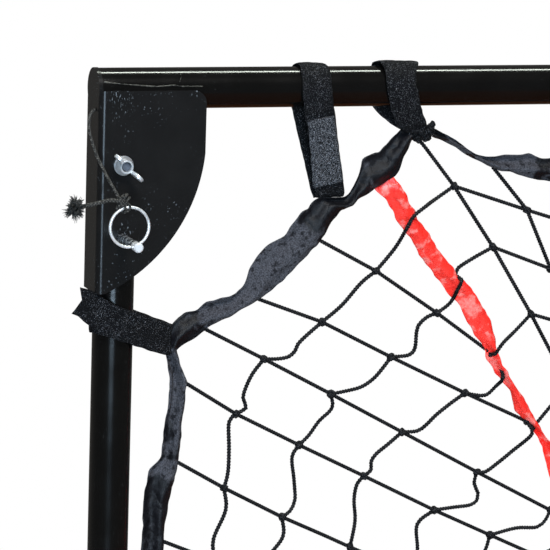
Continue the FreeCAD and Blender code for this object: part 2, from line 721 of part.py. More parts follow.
def leg_strap(z, grow=0.0):
    half = STRAP_WIDTH / 2
    beside_leg = inner_edge_limit(TAPE_EDGES["border_side"], "z", z - half, z + half)
    reach = LEG_X + max(beside_leg)
    return strap(Vector(-LEG_X, 0, z), X_AXIS, Z_AXIS, reach, grow)


save("top_bar", top_bar())
for name, (side, pivot_drop, pin_drop) in SIDES.items():
    pivot = BAR_Z - pivot_drop
    pin = BAR_Z - pin_drop
    pieces = {
        "leg": leg(pivot, pin),
        "foot": foot(),
        "foot_caps": Part.makeCompound([foot_cap(-1), foot_cap(1)]),
        "corner_bracket": corner_bracket(pivot, pin),
        "pivot_bolt": pivot_bolt(pivot),
        "pivot_washer": pivot_washer(pivot),
        "wing_nut": wing_nut(pivot),
        "lock_pin": lock_pin(pin),
        "pull_ring": pull_ring(pin),
        "tether": tether(pin),
    }
    for place, x in BAR_STRAPS.items():
        pieces["bar_strap_" + place] = bar_strap(x)
    for place, z in LEG_STRAPS.items():
        pieces["leg_strap_" + place] = leg_strap(z)
    for piece, shape in pieces.items():
        save(piece + "_" + name, mirrored(shape, side))
save("bar_strap_middle", bar_strap(0.0))

room = [tape(node, RUN_GAP) for node in TAPE_EDGES]
room += [bar_strap(x, RUN_GAP) for x in (*BAR_STRAPS.values(), 0.0)]
room += [leg_strap(z, RUN_GAP) for z in LEG_STRAPS.values()]
net(room + [mirrored(shape, 1) for shape in room])
border()
target_ribbon("target_ribbon_a", -1, RIBBON_LIFT)
target_ribbon("target_ribbon_b", 1, RIBBON_LIFT + RIBBON_THICKNESS + RIBBON_CROSSING)
print("bar axis height", round(BAR_Z, 2), "leg axis", round(LEG_X, 2))
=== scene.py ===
import bisect
import bpy
import bmesh
import math
import random
from mathutils import Matrix, Vector, noise


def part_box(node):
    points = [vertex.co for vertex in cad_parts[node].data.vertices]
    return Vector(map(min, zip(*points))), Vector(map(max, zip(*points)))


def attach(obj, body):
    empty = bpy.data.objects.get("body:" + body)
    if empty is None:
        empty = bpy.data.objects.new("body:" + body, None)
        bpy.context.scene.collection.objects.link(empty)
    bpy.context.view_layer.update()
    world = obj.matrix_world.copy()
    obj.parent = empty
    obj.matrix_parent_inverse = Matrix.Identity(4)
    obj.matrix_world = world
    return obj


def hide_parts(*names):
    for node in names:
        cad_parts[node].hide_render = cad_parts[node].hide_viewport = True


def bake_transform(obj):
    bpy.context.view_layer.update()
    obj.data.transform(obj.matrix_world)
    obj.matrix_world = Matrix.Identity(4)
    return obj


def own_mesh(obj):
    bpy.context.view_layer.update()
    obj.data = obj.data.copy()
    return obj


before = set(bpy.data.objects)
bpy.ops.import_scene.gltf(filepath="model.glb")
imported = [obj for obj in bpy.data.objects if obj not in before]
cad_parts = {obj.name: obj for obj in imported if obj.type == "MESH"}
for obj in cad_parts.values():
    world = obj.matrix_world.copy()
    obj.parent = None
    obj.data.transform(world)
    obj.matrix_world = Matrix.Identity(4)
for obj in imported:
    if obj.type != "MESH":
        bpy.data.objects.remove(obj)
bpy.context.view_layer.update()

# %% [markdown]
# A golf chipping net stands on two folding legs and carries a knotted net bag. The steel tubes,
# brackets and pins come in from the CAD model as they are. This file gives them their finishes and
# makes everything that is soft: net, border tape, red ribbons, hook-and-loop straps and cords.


# %% Places read from the frame
def box_middle(node, axis):
    low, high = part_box(node)
    return (low[axis] + high[axis]) / 2


bar_low, bar_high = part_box("top_bar")
bracket_low, bracket_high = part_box("corner_bracket_left")
BAR_Z = box_middle("top_bar", 2)
TUBE_R = (bar_high.z - bar_low.z) / 2
LEG_X = -box_middle("foot_left", 0)
PLATE_FACE = bracket_high.y
SPINE_X = -bracket_low.x
SIDES = {"left": 1, "right": -1}       # 1 for the side in the photograph, -1 for its mirror image
X_AXIS, Z_AXIS = Vector((1, 0, 0)), Vector((0, 0, 1))
MM = 0.001
print("bar axis", round(BAR_Z, 4), "leg axis", round(LEG_X, 4), "plate face", round(PLATE_FACE, 4))

# %% [markdown]
# These helpers put an object in the scene, make a mesh of a bmesh, and make a node with its inputs
# set or linked. "specks" and "threads" are node groups: light flecks and upright scratches, as dust
# and handling leave on gloss paint, and the crossed ribs of woven tape along a strip's own UV map.
# On the weld beads the same flecks are painted glints.


# %% Objects and meshes
def in_scene(name, data):
    holder = bpy.data.objects.new(name, data)
    bpy.context.scene.collection.objects.link(holder)
    return holder


def new_piece(name, mesh, mat):
    mesh.materials.append(mat)
    return in_scene(name, mesh)


def evaluated(holder):
    """The mesh that an object comes to with its modifiers or its curve. The object is removed."""
    mesh = bpy.data.meshes.new_from_object(holder.evaluated_get(bpy.context.evaluated_depsgraph_get()))
    bpy.data.objects.remove(holder)
    return mesh


def circle(around, count=None):
    """(cosine, sine) at even steps round a circle."""
    return [(math.cos(math.tau * k / around), math.sin(math.tau * k / around)) for k in range(count or around)]


def bmesh_of(*meshes):
    built = bmesh.new()
    for mesh in meshes:
        built.from_mesh(mesh)
    return built


def filled(mesh, built, outward=False, smooth=False):
    """The mesh, with the bmesh put in it. Its faces can be turned outwards and shaded smooth."""
    if outward:
        bmesh.ops.recalc_face_normals(built, faces=built.faces)
    if smooth:
        for face in built.faces:
            face.smooth = True
    built.to_mesh(mesh)
    built.free()
    return mesh


def merged(name, meshes):
    return filled(bpy.data.meshes.new(name), bmesh_of(*meshes))


# %% Nodes
def plug(tree, node, ins):
    """Set or link inputs. A value can be a socket, or a node for its first output."""
    for label, value in dict(ins).items():
        if isinstance(value, bpy.types.Node):
            value = value.outputs[0]
        if isinstance(value, bpy.types.NodeSocket):
            tree.links.new(value, node.inputs[label])
        else:
            node.inputs[label].default_value = value
    return node


def add(tree, kind, ins=(), **settings):
    node = tree.nodes.new(kind)
    for label, value in settings.items():
        setattr(node, label, value)
    return plug(tree, node, ins)


def empty_tree(owner):
    owner.use_nodes = True
    owner.node_tree.nodes.clear()
    return owner.node_tree


def new_group(name, kind, ins, outs):
    """A node group, its input sockets and its output node, from (label, kind of socket, value)."""
    group = bpy.data.node_groups.new(name, kind)
    for way, sockets in (("INPUT", ins), ("OUTPUT", outs)):
        for label, sort, value in sockets:
            socket = group.interface.new_socket(name=label, in_out=way, socket_type="NodeSocket" + sort)
            if value is not None:
                socket.default_value = value
    return group, group.nodes.new("NodeGroupInput").outputs, group.nodes.new("NodeGroupOutput")


class Shade:
    """Shader nodes in short calls. Each call gives the socket with its result."""

    def __init__(self, tree, place):
        self.tree, self.place = tree, place

    def stretched(self, scale):
        return add(self.tree, "ShaderNodeMapping", {"Vector": self.place, "Scale": scale})

    def noise(self, scale, detail=3.0, stretch=None):
        place = self.stretched(stretch) if stretch else self.place
        ins = {"Vector": place, "Scale": scale, "Detail": detail}
        return add(self.tree, "ShaderNodeTexNoise", ins).outputs["Fac"]

    def span(self, value, low, high, to_low=0.0, to_high=1.0):
        ins = {"Value": value, "From Min": low, "From Max": high, "To Min": to_low, "To Max": to_high}
        return add(self.tree, "ShaderNodeMapRange", ins).outputs[0]

    def maths(self, operation, first, second=0.0):
        return add(self.tree, "ShaderNodeMath", {0: first, 1: second}, operation=operation).outputs[0]

    def times(self, first, second):
        return self.maths("MULTIPLY", first, second)

    def ridges(self, scale, detail):
        return self.maths("ABSOLUTE", self.maths("SUBTRACT", self.noise(scale, detail), 0.5))

    def near(self, spots):
        """1 at the middle of each spot and 0 outside it. A spot is a place and a radius."""
        total = 0.0
        for spot, radius in spots:
            far = add(self.tree, "ShaderNodeVectorMath", {0: self.place, 1: spot}, operation="DISTANCE")
            total = self.maths("MAXIMUM", self.span(far.outputs["Value"], radius, 0.0), total)
        return total

    def shown(self, attribute):
        return add(self.tree, "ShaderNodeAttribute", attribute_name=attribute).outputs["Fac"]

    def mix(self, factor, first, second):
        """Colour between two, which are (red, green, blue) or sockets."""
        ins = {i: (*c, 1) if isinstance(c, tuple) else c for i, c in ((6, first), (7, second))}
        return add(self.tree, "ShaderNodeMix", {"Factor": factor, **ins}, data_type="RGBA").outputs[2]

    def bump(self, height, strength, distance, **ins):
        return add(self.tree, "ShaderNodeBump",
                   {"Height": height, "Strength": strength, "Distance": distance, **ins}).outputs[0]


class Finish(Shade):
    """A material. Its texture coordinate is the object's own."""

    def __init__(self, name):
        self.mat = bpy.data.materials.new(name)
        self.mat.use_nodes = True
        tree = self.mat.node_tree
        super().__init__(tree, add(tree, "ShaderNodeTexCoord").outputs["Object"])

    def done(self, colour, roughness, shine=0.5, metallic=0.0, **ins):
        plug(self.tree, self.tree.nodes["Principled BSDF"],
             {"Base Color": colour, "Roughness": roughness, "Specular IOR Level": shine,
              "Metallic": metallic, **ins})
        return self.mat


# %% Groups
def build_specks():
    group, start, end = new_group("specks", "ShaderNodeTree",
                                  [("Vector", "Vector", None), ("Amount", "Float", 1.0)],
                                  [("Flecks", "Float", None), ("Haze", "Float", None)])
    s = Shade(group, start["Vector"])
    dots = s.times(s.span(s.noise(560.0, 2.0), 0.665, 0.73), s.span(s.noise(38.0), 0.45, 0.7))
    lines = s.times(s.span(s.noise(700.0, 1.0, (1.0, 1.0, 0.05)), 0.75, 0.82),
                    s.span(s.noise(24.0, 1.0), 0.55, 0.7))
    haze = s.span(s.noise(55.0, 5.0), 0.4, 0.75)
    plug(group, end, {"Flecks": s.times(s.maths("ADD", dots, lines), start["Amount"]),
                      "Haze": s.times(haze, start["Amount"])})
    return group


def build_threads():
    group, start, end = new_group("threads", "ShaderNodeTree",
                                  [("UV", "Vector", None), ("Ribs", "Float", 9000.0)],
                                  [("Height", "Float", None)])
    s = Shade(group, start["UV"])
    parts = add(group, "ShaderNodeSeparateXYZ", {0: start["UV"]}).outputs
    warp, weft = (s.maths("SINE", s.times(parts[axis], start["Ribs"])) for axis in "XY")
    woven = s.times(s.times(warp, weft), 0.5)
    plug(group, end, {"Height": s.maths("ADD", woven, s.noise(1500.0, 2.0))})
    return group


SPECKS = build_specks()
THREADS = build_threads()
print("groups", SPECKS.name, THREADS.name)

# %% [markdown]
# The camera comes before the pieces, because those that the photograph shows are placed through it.
# Its place was worked out from the edges of the bar, the leg and the bracket: it stands left of the
# corner and a little above it, turned to the right. Focal length is in pixels of a 550 pixel wide
# picture.

# %% Camera
PICTURE = 550
FOCAL_PIXELS = 3000.0
SENSOR = 36
CAMERA_PLACE = Vector((-0.9689, -1.7513, 1.0791))
CAMERA_TURN = math.radians(19.88)
CAMERA_TILT = math.radians(10.06)
CAMERA_ROLL = math.radians(1.83)


def camera_axes():
    forward = Vector((math.sin(CAMERA_TURN) * math.cos(CAMERA_TILT),
                      math.cos(CAMERA_TURN) * math.cos(CAMERA_TILT), -math.sin(CAMERA_TILT)))
    level = forward.cross(Z_AXIS).normalized()
    up = level.cross(forward)
    right = level * math.cos(CAMERA_ROLL) + up * math.sin(CAMERA_ROLL)
    return right, up * math.cos(CAMERA_ROLL) - level * math.sin(CAMERA_ROLL), forward


RIGHT, UP, FORWARD = camera_axes()
camera = in_scene("camera", bpy.data.cameras.new("camera"))
camera.matrix_world = Matrix.Translation(CAMERA_PLACE) @ Matrix((RIGHT, UP, -FORWARD)).transposed().to_4x4()
camera.data.sensor_width = SENSOR
camera.data.lens = FOCAL_PIXELS / PICTURE * SENSOR
bpy.context.scene.camera = camera
bpy.context.scene.view_settings.view_transform = "Standard"


def at_depth(px, py, y):
    """A pixel of the photograph, taken to a plane across the frame."""
    half = PICTURE / 2
    way = (FORWARD * FOCAL_PIXELS + RIGHT * (px - half) + UP * (half - py)).normalized()
    return CAMERA_PLACE + way * ((y - CAMERA_PLACE.y) / way.y)


on_plate = at_depth(121, 238, -PLATE_FACE)
print("lens", round(camera.data.lens, 1), "pixel 121,238 on the plate", [round(v, 4) for v in on_plate])

# %% [markdown]
# A white studio: the world is white where the camera looks. As light and in reflections it is dim,
# a little less so behind the object than on the player's side, so that gloss black paint stays black
# as in the photo. A long lamp above draws the thin bright line along the bar, and a cool one beside
# the camera draws the soft upright lines on the leg and on the bracket's fold. In gloss the floor
# glows dark brown, a painted reflection that is the brown cast on the underside of the bar.

# %% World
world = bpy.data.worlds.new("studio")
bpy.context.scene.world = world
tree = empty_tree(world)
toward = add(tree, "ShaderNodeSeparateXYZ", {0: add(tree, "ShaderNodeTexCoord").outputs["Generated"]})
behind = Shade(tree, None).span(toward.outputs["Y"], -0.1, 0.75, 0.07, 0.13)
lit = add(tree, "ShaderNodeBackground", {"Color": (1.0, 0.96, 0.9, 1), "Strength": behind})
seen = add(tree, "ShaderNodeBackground", {"Color": (1, 1, 1, 1), "Strength": 1.0})
path = add(tree, "ShaderNodeLightPath").outputs["Is Camera Ray"]
add(tree, "ShaderNodeOutputWorld", {0: add(tree, "ShaderNodeMixShader", {0: path, 1: lit, 2: seen})})
print("world", world.name)


# %% Lamps
def lamp(name, place, target, size, power, colour):
    data = bpy.data.lights.new(name, "AREA")
    data.shape, data.energy, data.color = "RECTANGLE", power, colour
    data.size, data.size_y = size
    aim = (Vector(target) - Vector(place)).normalized()
    in_scene(name, data).matrix_world = (Matrix.Translation(place)
                                         @ aim.to_track_quat("-Z", "Y").to_matrix().to_4x4())


lamp("lamp_above", (0.0, 0.42, 2.6), (0, 0, 0.868), (3.0, 0.16), 46, (0.93, 1.0, 0.9))
lamp("lamp_camera", (-1.3, -2.6, 1.0), (-0.44, 0, 0.6), (1.1, 1.5), 80, (0.6, 0.8, 1.0))
lamp("lamp_front", (-0.5, -2.3, 3.4), (-0.2, 0, 0.5), (1.3, 1.3), 122, (1.0, 0.985, 0.96))

# %% Floor
FLOOR_REACH = 1.7
FLOOR_EDGES = 96
FADE_FROM, FADE_TO = 0.4, 0.85        # shares of the reach between which the floor turns white


def floor_material():
    mat = bpy.data.materials.new("floor")
    tree = empty_tree(mat)
    place = add(tree, "ShaderNodeTexCoord").outputs["Object"]
    far = add(tree, "ShaderNodeVectorMath", {0: place}, operation="LENGTH").outputs["Value"]
    fade = add(tree, "ShaderNodeMapRange", {"Value": far, "From Min": FLOOR_REACH * FADE_FROM,
                                            "From Max": FLOOR_REACH * FADE_TO}, interpolation_type="SMOOTHSTEP")
    pale = add(tree, "ShaderNodeBsdfDiffuse", {"Color": (0.86, 0.87, 0.88, 1)})
    plain = add(tree, "ShaderNodeMixShader", {0: fade, 1: pale, 2: add(tree, "ShaderNodeEmission")})
    # Glossy rays see the floor glow dark brown: a painted reflection, which is the brown cast under the bar.
    brown = add(tree, "ShaderNodeEmission", {"Color": (0.13, 0.045, 0.015, 1)})
    ray = add(tree, "ShaderNodeLightPath").outputs["Is Glossy Ray"]
    either = add(tree, "ShaderNodeMixShader", {0: ray, 1: plain, 2: brown})
    add(tree, "ShaderNodeOutputMaterial", {0: either})
    return mat


floor_mesh = bpy.data.meshes.new("floor")
floor_mesh.from_pydata([(FLOOR_REACH * c, FLOOR_REACH * s, 0) for c, s in circle(FLOOR_EDGES)], [],
                       [list(range(FLOOR_EDGES))])
new_piece("floor", floor_mesh, floor_material())
print("floor", FLOOR_REACH)

# %% [markdown]
# The tubes and brackets are gloss black paint and read their colour through the specks: dust, more
# of it on the dusty bracket, and on the weld beads painted glints. The bar's brown cast underneath is
# a painted reflection of the floor's glow. Zinc parts are bright and slightly mottled, but the bolt
# is painted dark as painted shade for its end inside the nut's hub, and the pin has a painted
# highlight on its end and painted reflections on its shaft. The ring is smooth bright wire, and the
# foot caps are grained black plastic.


# %% Hard finishes
def gloss_paint(name, colour, dust, dust_and_glint_colour, amount, roughness, shine, spots=()):
    s = Finish(name)
    specks = add(s.tree, "ShaderNodeGroup", {0: s.place, "Amount": amount}, node_tree=SPECKS).outputs
    flecks = specks["Flecks"]
    if spots:
        fine = s.span(s.noise(1300.0, 4.0, (1.0, 1.0, 0.3)), 0.6, 0.72)
        flecks = s.maths("MAXIMUM", flecks, s.times(fine, s.near(spots)))
    # The flecks' colour is dust on the frame and the bracket, and painted glints on the weld beads.
    return s.done(s.mix(flecks, s.mix(specks["Haze"], colour, dust), dust_and_glint_colour),
                  s.span(specks["Haze"], 0.0, 1.0, roughness, roughness + 0.16), shine,
                  Normal=s.bump(s.noise(260.0, 2.0), 0.05, 0.0006))


def zinc_plate(name, colour, roughness):
    s = Finish(name)
    mottle = s.noise(300.0, 4.0)
    return s.done(s.mix(s.span(mottle, 0.35, 0.7), colour, tuple(c * 0.55 for c in colour)),
                  s.span(mottle, 0.3, 0.7, roughness, roughness + 0.18), metallic=0.6,
                  Normal=s.bump(s.noise(1400.0, 2.0), 0.15, 0.0004))


def pin_steel(name, front):
    """A bright rounded end, which is a painted highlight, and a duller shaft behind it, speckled light and dark
    as painted reflections.
    """
    s = Finish(name)
    depth = add(s.tree, "ShaderNodeSeparateXYZ", {0: s.place}).outputs["Y"]
    # The shaft's light and dark speckles are painted reflections, and the end's near-white colour is a painted
    # highlight.
    reflection_speckle = s.mix(s.span(s.noise(600.0), 0.5, 0.62), (0.05, 0.055, 0.06), (0.6, 0.63, 0.67))
    shaft = s.span(depth, front + 0.005, front + 0.008)
    return s.done(s.mix(shaft, (0.95, 0.96, 0.98), reflection_speckle), 0.26, metallic=0.5)


def moulded_plastic(name):
    s = Finish(name)
    grain = s.noise(900.0)
    return s.done(s.mix(grain, (0.012, 0.012, 0.013), (0.03, 0.03, 0.031)), s.span(grain, 0.3, 0.7, 0.42, 0.6),
                  Normal=s.bump(grain, 0.3, 0.0005))


DUST_SPOTS = [(at_depth(px, py, -PLATE_FACE), radius) for px, py, radius in
              ((120, 94, 0.009), (127, 108, 0.006), (114, 118, 0.004), (126, 229, 0.007), (147, 207, 0.004),
               (108, 84, 0.004), (196, 92, 0.004))]
frame_paint = gloss_paint("frame_paint", (0.0024, 0.0023, 0.0022), (0.004, 0.0038, 0.0036),
                          (0.05, 0.05, 0.05), 0.3, 0.13, 0.46)
bracket_paint = gloss_paint("bracket_paint", (0.0075, 0.0073, 0.0073), (0.012, 0.0115, 0.0112),
                            (0.34, 0.38, 0.42), 0.3, 0.2, 0.22, DUST_SPOTS)
# Weld beads: dark paint whose many pale flecks are painted glints.
weld_paint = gloss_paint("weld_paint", (0.01, 0.01, 0.009), (0.09, 0.085, 0.07), (0.62, 0.6, 0.5), 1.6, 0.3, 0.35)
zinc = zinc_plate("zinc", (0.93, 0.96, 0.99), 0.22)
# The bolt's zinc is painted dark: painted shade for its end, which lies deep in the nut's hub.
bolt_zinc_painted_shade = zinc_plate("bolt_zinc_painted_shade", (0.16, 0.18, 0.22), 0.3)
ring_chrome = zinc_plate("ring_chrome", (0.97, 0.97, 0.98), 0.22)
bright_pin = pin_steel("bright_pin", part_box("lock_pin_left")[0].y)
cap_plastic = moulded_plastic("cap_plastic")
WORN_BY = {"top_bar": frame_paint, "leg_": frame_paint, "foot_": frame_paint, "foot_caps_": cap_plastic,
           "corner_bracket_": bracket_paint, "lock_pin_": bright_pin, "pivot_bolt_": zinc,
           "pivot_washer_": zinc, "wing_nut_": zinc}
for stem, mat in WORN_BY.items():
    for node in ([stem + side for side in SIDES] if stem.endswith("_") else [stem]):
        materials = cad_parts[node].data.materials
        materials.clear()
        materials.append(mat)
print("hard finishes on", len([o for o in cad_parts.values() if o.data.materials]))

# %% [markdown]
# Soft finishes. Net cord and tether are black braid with crossed strands. The border tape is thin
# crinkled nylon that shines on its folds. The ribbon is shiny red nylon. Hook-and-loop straps are a
# black pile with grey ends of fibre in it.


# %% Soft finishes
def braided(name, colour, light):
    s = Finish(name)
    first, second = (add(s.tree, "ShaderNodeTexWave", {"Vector": s.stretched((1.0, 1.0, way)), "Scale": 330.0,
                                                       "Distortion": 1.5}, bands_direction="DIAGONAL")
                     for way in (1.0, -1.0))
    strands = s.times(first.outputs["Fac"], second.outputs["Fac"])
    return s.done(s.mix(strands, colour, light), 0.75, 0.15, Normal=s.bump(strands, 0.7, 0.0007))


def nylon(name, colour, shade, folded):
    """Thin fuzzy tape: colour where it lies open, shade in its creases, folded where it shows its back."""
    s = Finish(name)
    uv = add(s.tree, "ShaderNodeUVMap", uv_map="UVMap")
    threads = add(s.tree, "ShaderNodeGroup", {0: uv, "Ribs": 9000.0}, node_tree=THREADS)
    wander = s.span(s.noise(130.0, 6.0), 0.25, 0.75, -0.3, 0.3)
    back = s.span(s.maths("ADD", s.shown("shade"), wander), 0.42, 0.6)
    tone = s.mix(back, s.mix(s.span(s.noise(210.0, 5.0), 0.36, 0.44), shade, colour), folded)
    speckle = s.span(s.noise(1300.0, 4.0), 0.38, 0.62, 0.45, 1.5)
    grained = add(s.tree, "ShaderNodeVectorMath", {0: tone, "Scale": speckle}, operation="SCALE")
    fine = s.bump(threads, 0.3, 0.0003)
    return s.done(grained, s.span(back, 0.0, 1.0, 0.85, 0.45), 0.2,
                  Normal=s.bump(s.ridges(70.0, 2.0), 1.0, 0.004, Normal=fine))


def satin(name, colour, deep, pale):
    """Shiny ribbon: deep is painted shade along its creases, and pale is a painted highlight where a crinkle
    turns to the light.
    """
    s = Finish(name)
    ridges, glints = s.ridges(95.0, 3.0), s.noise(105.0)
    uneven = s.span(s.noise(420.0), 0.3, 0.7, 0.35, 1.0)
    shining = s.times(s.span(glints, 0.52, 0.62), uneven)
    return s.done(s.mix(shining, s.mix(s.span(ridges, 0.0, 0.02), deep, colour), pale), 0.36, 0.4,
                  Normal=s.bump(s.maths("ADD", ridges, s.times(glints, 0.5)), 0.75, 0.003))


def pile(name, loops, hooks):
    """Hook-and-loop pile: black with pale fibre ends, more of them on the hook face (shade 1)."""
    s = Finish(name)
    fibres = s.noise(2100.0, 2.0)
    patches = s.span(s.noise(120.0), 0.35, 0.65, 0.35, 1.0)
    loop_side = s.mix(s.times(s.span(fibres, 0.6, 0.7), patches), (0.0035, 0.0037, 0.0045), loops)
    hook_side = s.mix(s.span(fibres, 0.5, 0.66), (0.009, 0.0093, 0.011), hooks)
    return s.done(s.mix(s.shown("shade"), loop_side, hook_side), 0.9, 0.1, Normal=s.bump(fibres, 1.0, 0.0012))


net_cord = braided("net_cord", (0.0015, 0.0015, 0.002), (0.035, 0.035, 0.039))
tether_cord = braided("tether_cord", (0.014, 0.0135, 0.0125), (0.12, 0.115, 0.107))
border_tape = nylon("border_tape", (0.047, 0.047, 0.055), (0.01, 0.01, 0.0125), (0.006, 0.006, 0.0075))
# The ribbon's second colour is painted shade along its creases, and the third a painted highlight on its
# crinkles.
ribbon_red = satin("ribbon_red", (0.94, 0.03, 0.02), (0.76, 0.012, 0.009), (0.96, 0.22, 0.19))
hook_loop = pile("hook_loop", (0.27, 0.275, 0.3), (0.25, 0.26, 0.29))
print("soft finishes", [m.name for m in (net_cord, tether_cord, border_tape, ribbon_red, hook_loop)])

# %% [markdown]
# The net bag is sewn to an eight-sided opening and slopes back to a flat rear panel. Its surface is
# described once: how deep the net lies behind the frame at any point of the front view. Cords,
# knots and ribbons are drawn in the front view and then laid on this surface.

# %% Shape of the bag
NET_DEPTH = 0.080
OPEN_SIDE_HALF = 0.406
OPEN_TOP_HALF = 0.250
OPEN_BOTTOM_HALF = 0.300
OPEN_TOP = BAR_Z - 0.040
UPPER_CORNER = OPEN_TOP - 0.098
OPEN_BOTTOM = 0.070
LOWER_CORNER = 0.165
FRONT = [Vector(p) for p in ((0, OPEN_TOP), (-OPEN_TOP_HALF, OPEN_TOP), (-OPEN_SIDE_HALF, UPPER_CORNER),
                             (-OPEN_SIDE_HALF, LOWER_CORNER), (-OPEN_BOTTOM_HALF, OPEN_BOTTOM),
                             (0, OPEN_BOTTOM))]
REAR_INSETS = (0.308, 0.3513, 0.216, 0.1517, 0.0333)
NEARINGS = 12                # rounds of coming nearer to a place that can't be given straight away


def share_in(x, z):
    """0 on the edge of the opening, 1 over the rear panel, below 0 outside the opening."""
    p = Vector((-abs(x), z))
    shares = []
    for a, b, inset in zip(FRONT, FRONT[1:], REAR_INSETS):
        along = (b - a).normalized()
        shares.append((p - a).dot(Vector((-along.y, along.x))) / inset)
    return min(shares)


def bag_depth(x, z):
    return NET_DEPTH * max(0.0, min(1.0, share_in(x, z)))


def on_net(px, py, out=0.0):
    """Front view place (x, z) of what the photograph shows on the net at this pixel, and how far
    in front of the net it lies."""
    y = -out
    for _ in range(NEARINGS):
        point = at_depth(px, py, y)
        y = bag_depth(point.x, point.z) - out
    return Vector((point.x, point.z, out))


def at_front(px, py):
    point = at_depth(px, py, 0.0)
    return Vector((point.x, point.z))


def lifted(place):
    return Vector((place.x, bag_depth(place.x, place.y) - place.z, place.y))


print("depth at the middle", bag_depth(0, 0.4), "near a corner", round(bag_depth(-0.33, 0.74), 4))

# %% [markdown]
# A net is knotted from one cord in rows. Seen in the photograph, one set of cords is pulled tight
# from the border towards the middle, and the other set hangs slack between its knots. Each tight
# cord is a column of knots. The columns in the picture are placed by their pixels, and the rest of
# the bag continues them with equal steps.

# %% Knots of the net
KNOTS_SEEN = [
    [(496, 171), (527, 210)],
    [(420, 141), (454, 186), (493, 247), (531, 314), (568, 385)],
    [(321, 241), (376, 271), (437, 313), (491, 353), (550, 401)],
    [(261, 300), (322, 322), (391, 357), (465, 393), (526, 421)],
    [(205, 329), (264, 359), (331, 394), (402, 432), (477, 472), (550, 510)],
    [(184, 382), (236, 414), (299, 445), (364, 476), (434, 510), (490, 535)],
    [(179, 463), (224, 488), (282, 517), (350, 547)],
]
FIRST_SIDE_COLUMN = 2        # columns before this one start on the top edge
TOP_STEP = Vector((0.024, -0.0415, 0))
SIDE_STEP = Vector((0.041, -0.0200, 0))
BORDER_SPACING = 0.049
ROWS = 22
INTO_TAPE = 0.004            # how far a cord runs on into the tape
TOP_STOP, SIDE_STOP = -0.01, -0.35    # columns go on to this x along the top and this z down the side
KEY_STEPS = 1500             # cord ends within one of this many steps to a metre are the same end


def extended(column, step):
    while len(column) < ROWS:
        column.append(column[-1] + step)
    return column


def net_columns():
    seen = [[on_net(*pixel) for pixel in column] for column in KNOTS_SEEN]
    top = [extended(column, TOP_STEP) for column in seen[:FIRST_SIDE_COLUMN]]
    side = [extended(column, SIDE_STEP) for column in seen[FIRST_SIDE_COLUMN:]]
    start = top[0][0]
    while start.x + BORDER_SPACING < TOP_STOP:
        start = start + Vector((BORDER_SPACING, 0, 0))
        top.insert(0, extended([start], TOP_STEP))
    start = side[-1][0]
    while start.y > SIDE_STOP:
        start = Vector((-OPEN_SIDE_HALF, start.y - BORDER_SPACING, 0))
        side.append(extended([start], SIDE_STEP))
    return top, side


def end_key(p):
    return round(p.x * KEY_STEPS), round(p.y * KEY_STEPS)


TOP_COLUMNS, SIDE_COLUMNS = net_columns()
for column in TOP_COLUMNS + SIDE_COLUMNS:
    column[0] = column[0] + (column[0] - column[1]).normalized() * INTO_TAPE
TAPE_ENDS = {end_key(column[0]) for column in TOP_COLUMNS + SIDE_COLUMNS}
print("columns from the top edge", len(TOP_COLUMNS), "from the side", len(SIDE_COLUMNS))

# %% Slack rows that the photograph shows
IN_FRONT = 0.0072            # a cord that crosses over a ribbon
CORD_STEP = 0.0035           # length between points of a cord
TO_RIBBON = (on_net(531, 425) - on_net(550, 402)) * 4
SLACK_SEEN = {
    ((454, 186), (376, 271)): [(437, 198), (425, 207, IN_FRONT), (414, 216, IN_FRONT), (407, 228, IN_FRONT),
                               (395, 248)],
    ((493, 247), (437, 313)): [(475, 257), (458, 268), (455, 275), (462, 280, IN_FRONT),
                               (458, 289, IN_FRONT), (450, 303)],
    ((376, 271), (322, 322)): [(361, 283), (342, 305)],
    ((437, 313), (391, 357)): [(427, 317), (418, 326), (416, 338), (415, 348), (409, 355)],
    ((531, 314), (491, 353)): [(515, 331), (503, 343, IN_FRONT), (495, 354, IN_FRONT)],
    ((491, 353), (465, 393)): [(499, 365), (503, 378, IN_FRONT), (496, 386), (486, 395), (475, 395)],
    ((322, 322), (264, 359)): [(307, 335), (298, 344), (295, 351), (288, 357), (276, 359)],
    ((391, 357), (331, 394)): [(382, 369), (373, 379), (361, 387), (346, 391)],
    ((465, 393), (402, 432)): [(451, 403), (436, 415), (426, 425), (417, 431)],
    ((526, 421), (477, 472)): [(532, 434, IN_FRONT), (511, 452), (495, 465), (485, 472)],
    ((264, 359), (236, 414)): [(253, 373), (246, 387), (243, 398), (246, 408)],
    ((331, 394), (299, 445)): [(332, 408), (319, 421), (309, 435)],
    ((402, 432), (364, 476)): [(387, 445), (376, 454), (371, 462), (371, 470)],
    ((477, 472), (434, 510)): [(474, 483), (478, 493), (477, 500), (470, 505), (455, 507)],
    ((236, 414), (224, 488)): [(229, 422), (229, 448), (228, 472)],
    ((299, 445), (282, 517)): [(292, 457), (294, 480), (295, 499), (290, 511)],
    ((364, 476), (350, 547)): [(357, 484), (354, 500), (355, 521)],
    ((224, 488), (237, 565)): [(217, 511), (211, 534), (216, 552)],
    ((282, 517), (297, 591)): [(273, 530), (266, 548), (273, 571)],
    ((434, 510), (408, 573)): [(428, 521), (422, 536), (413, 553)],
    ((550, 510), (490, 535)): [(546, 519), (537, 527), (516, 528)],
}


def seen_between(a, b):
    """Places that a cord passes between two knots in the photograph, if it shows them."""
    for (first, last), pixels in SLACK_SEEN.items():
        if (on_net(*first) - a).length < 0.002 and (on_net(*last) - b).length < 0.002:
            return [on_net(*pixel) for pixel in pixels]
    return []


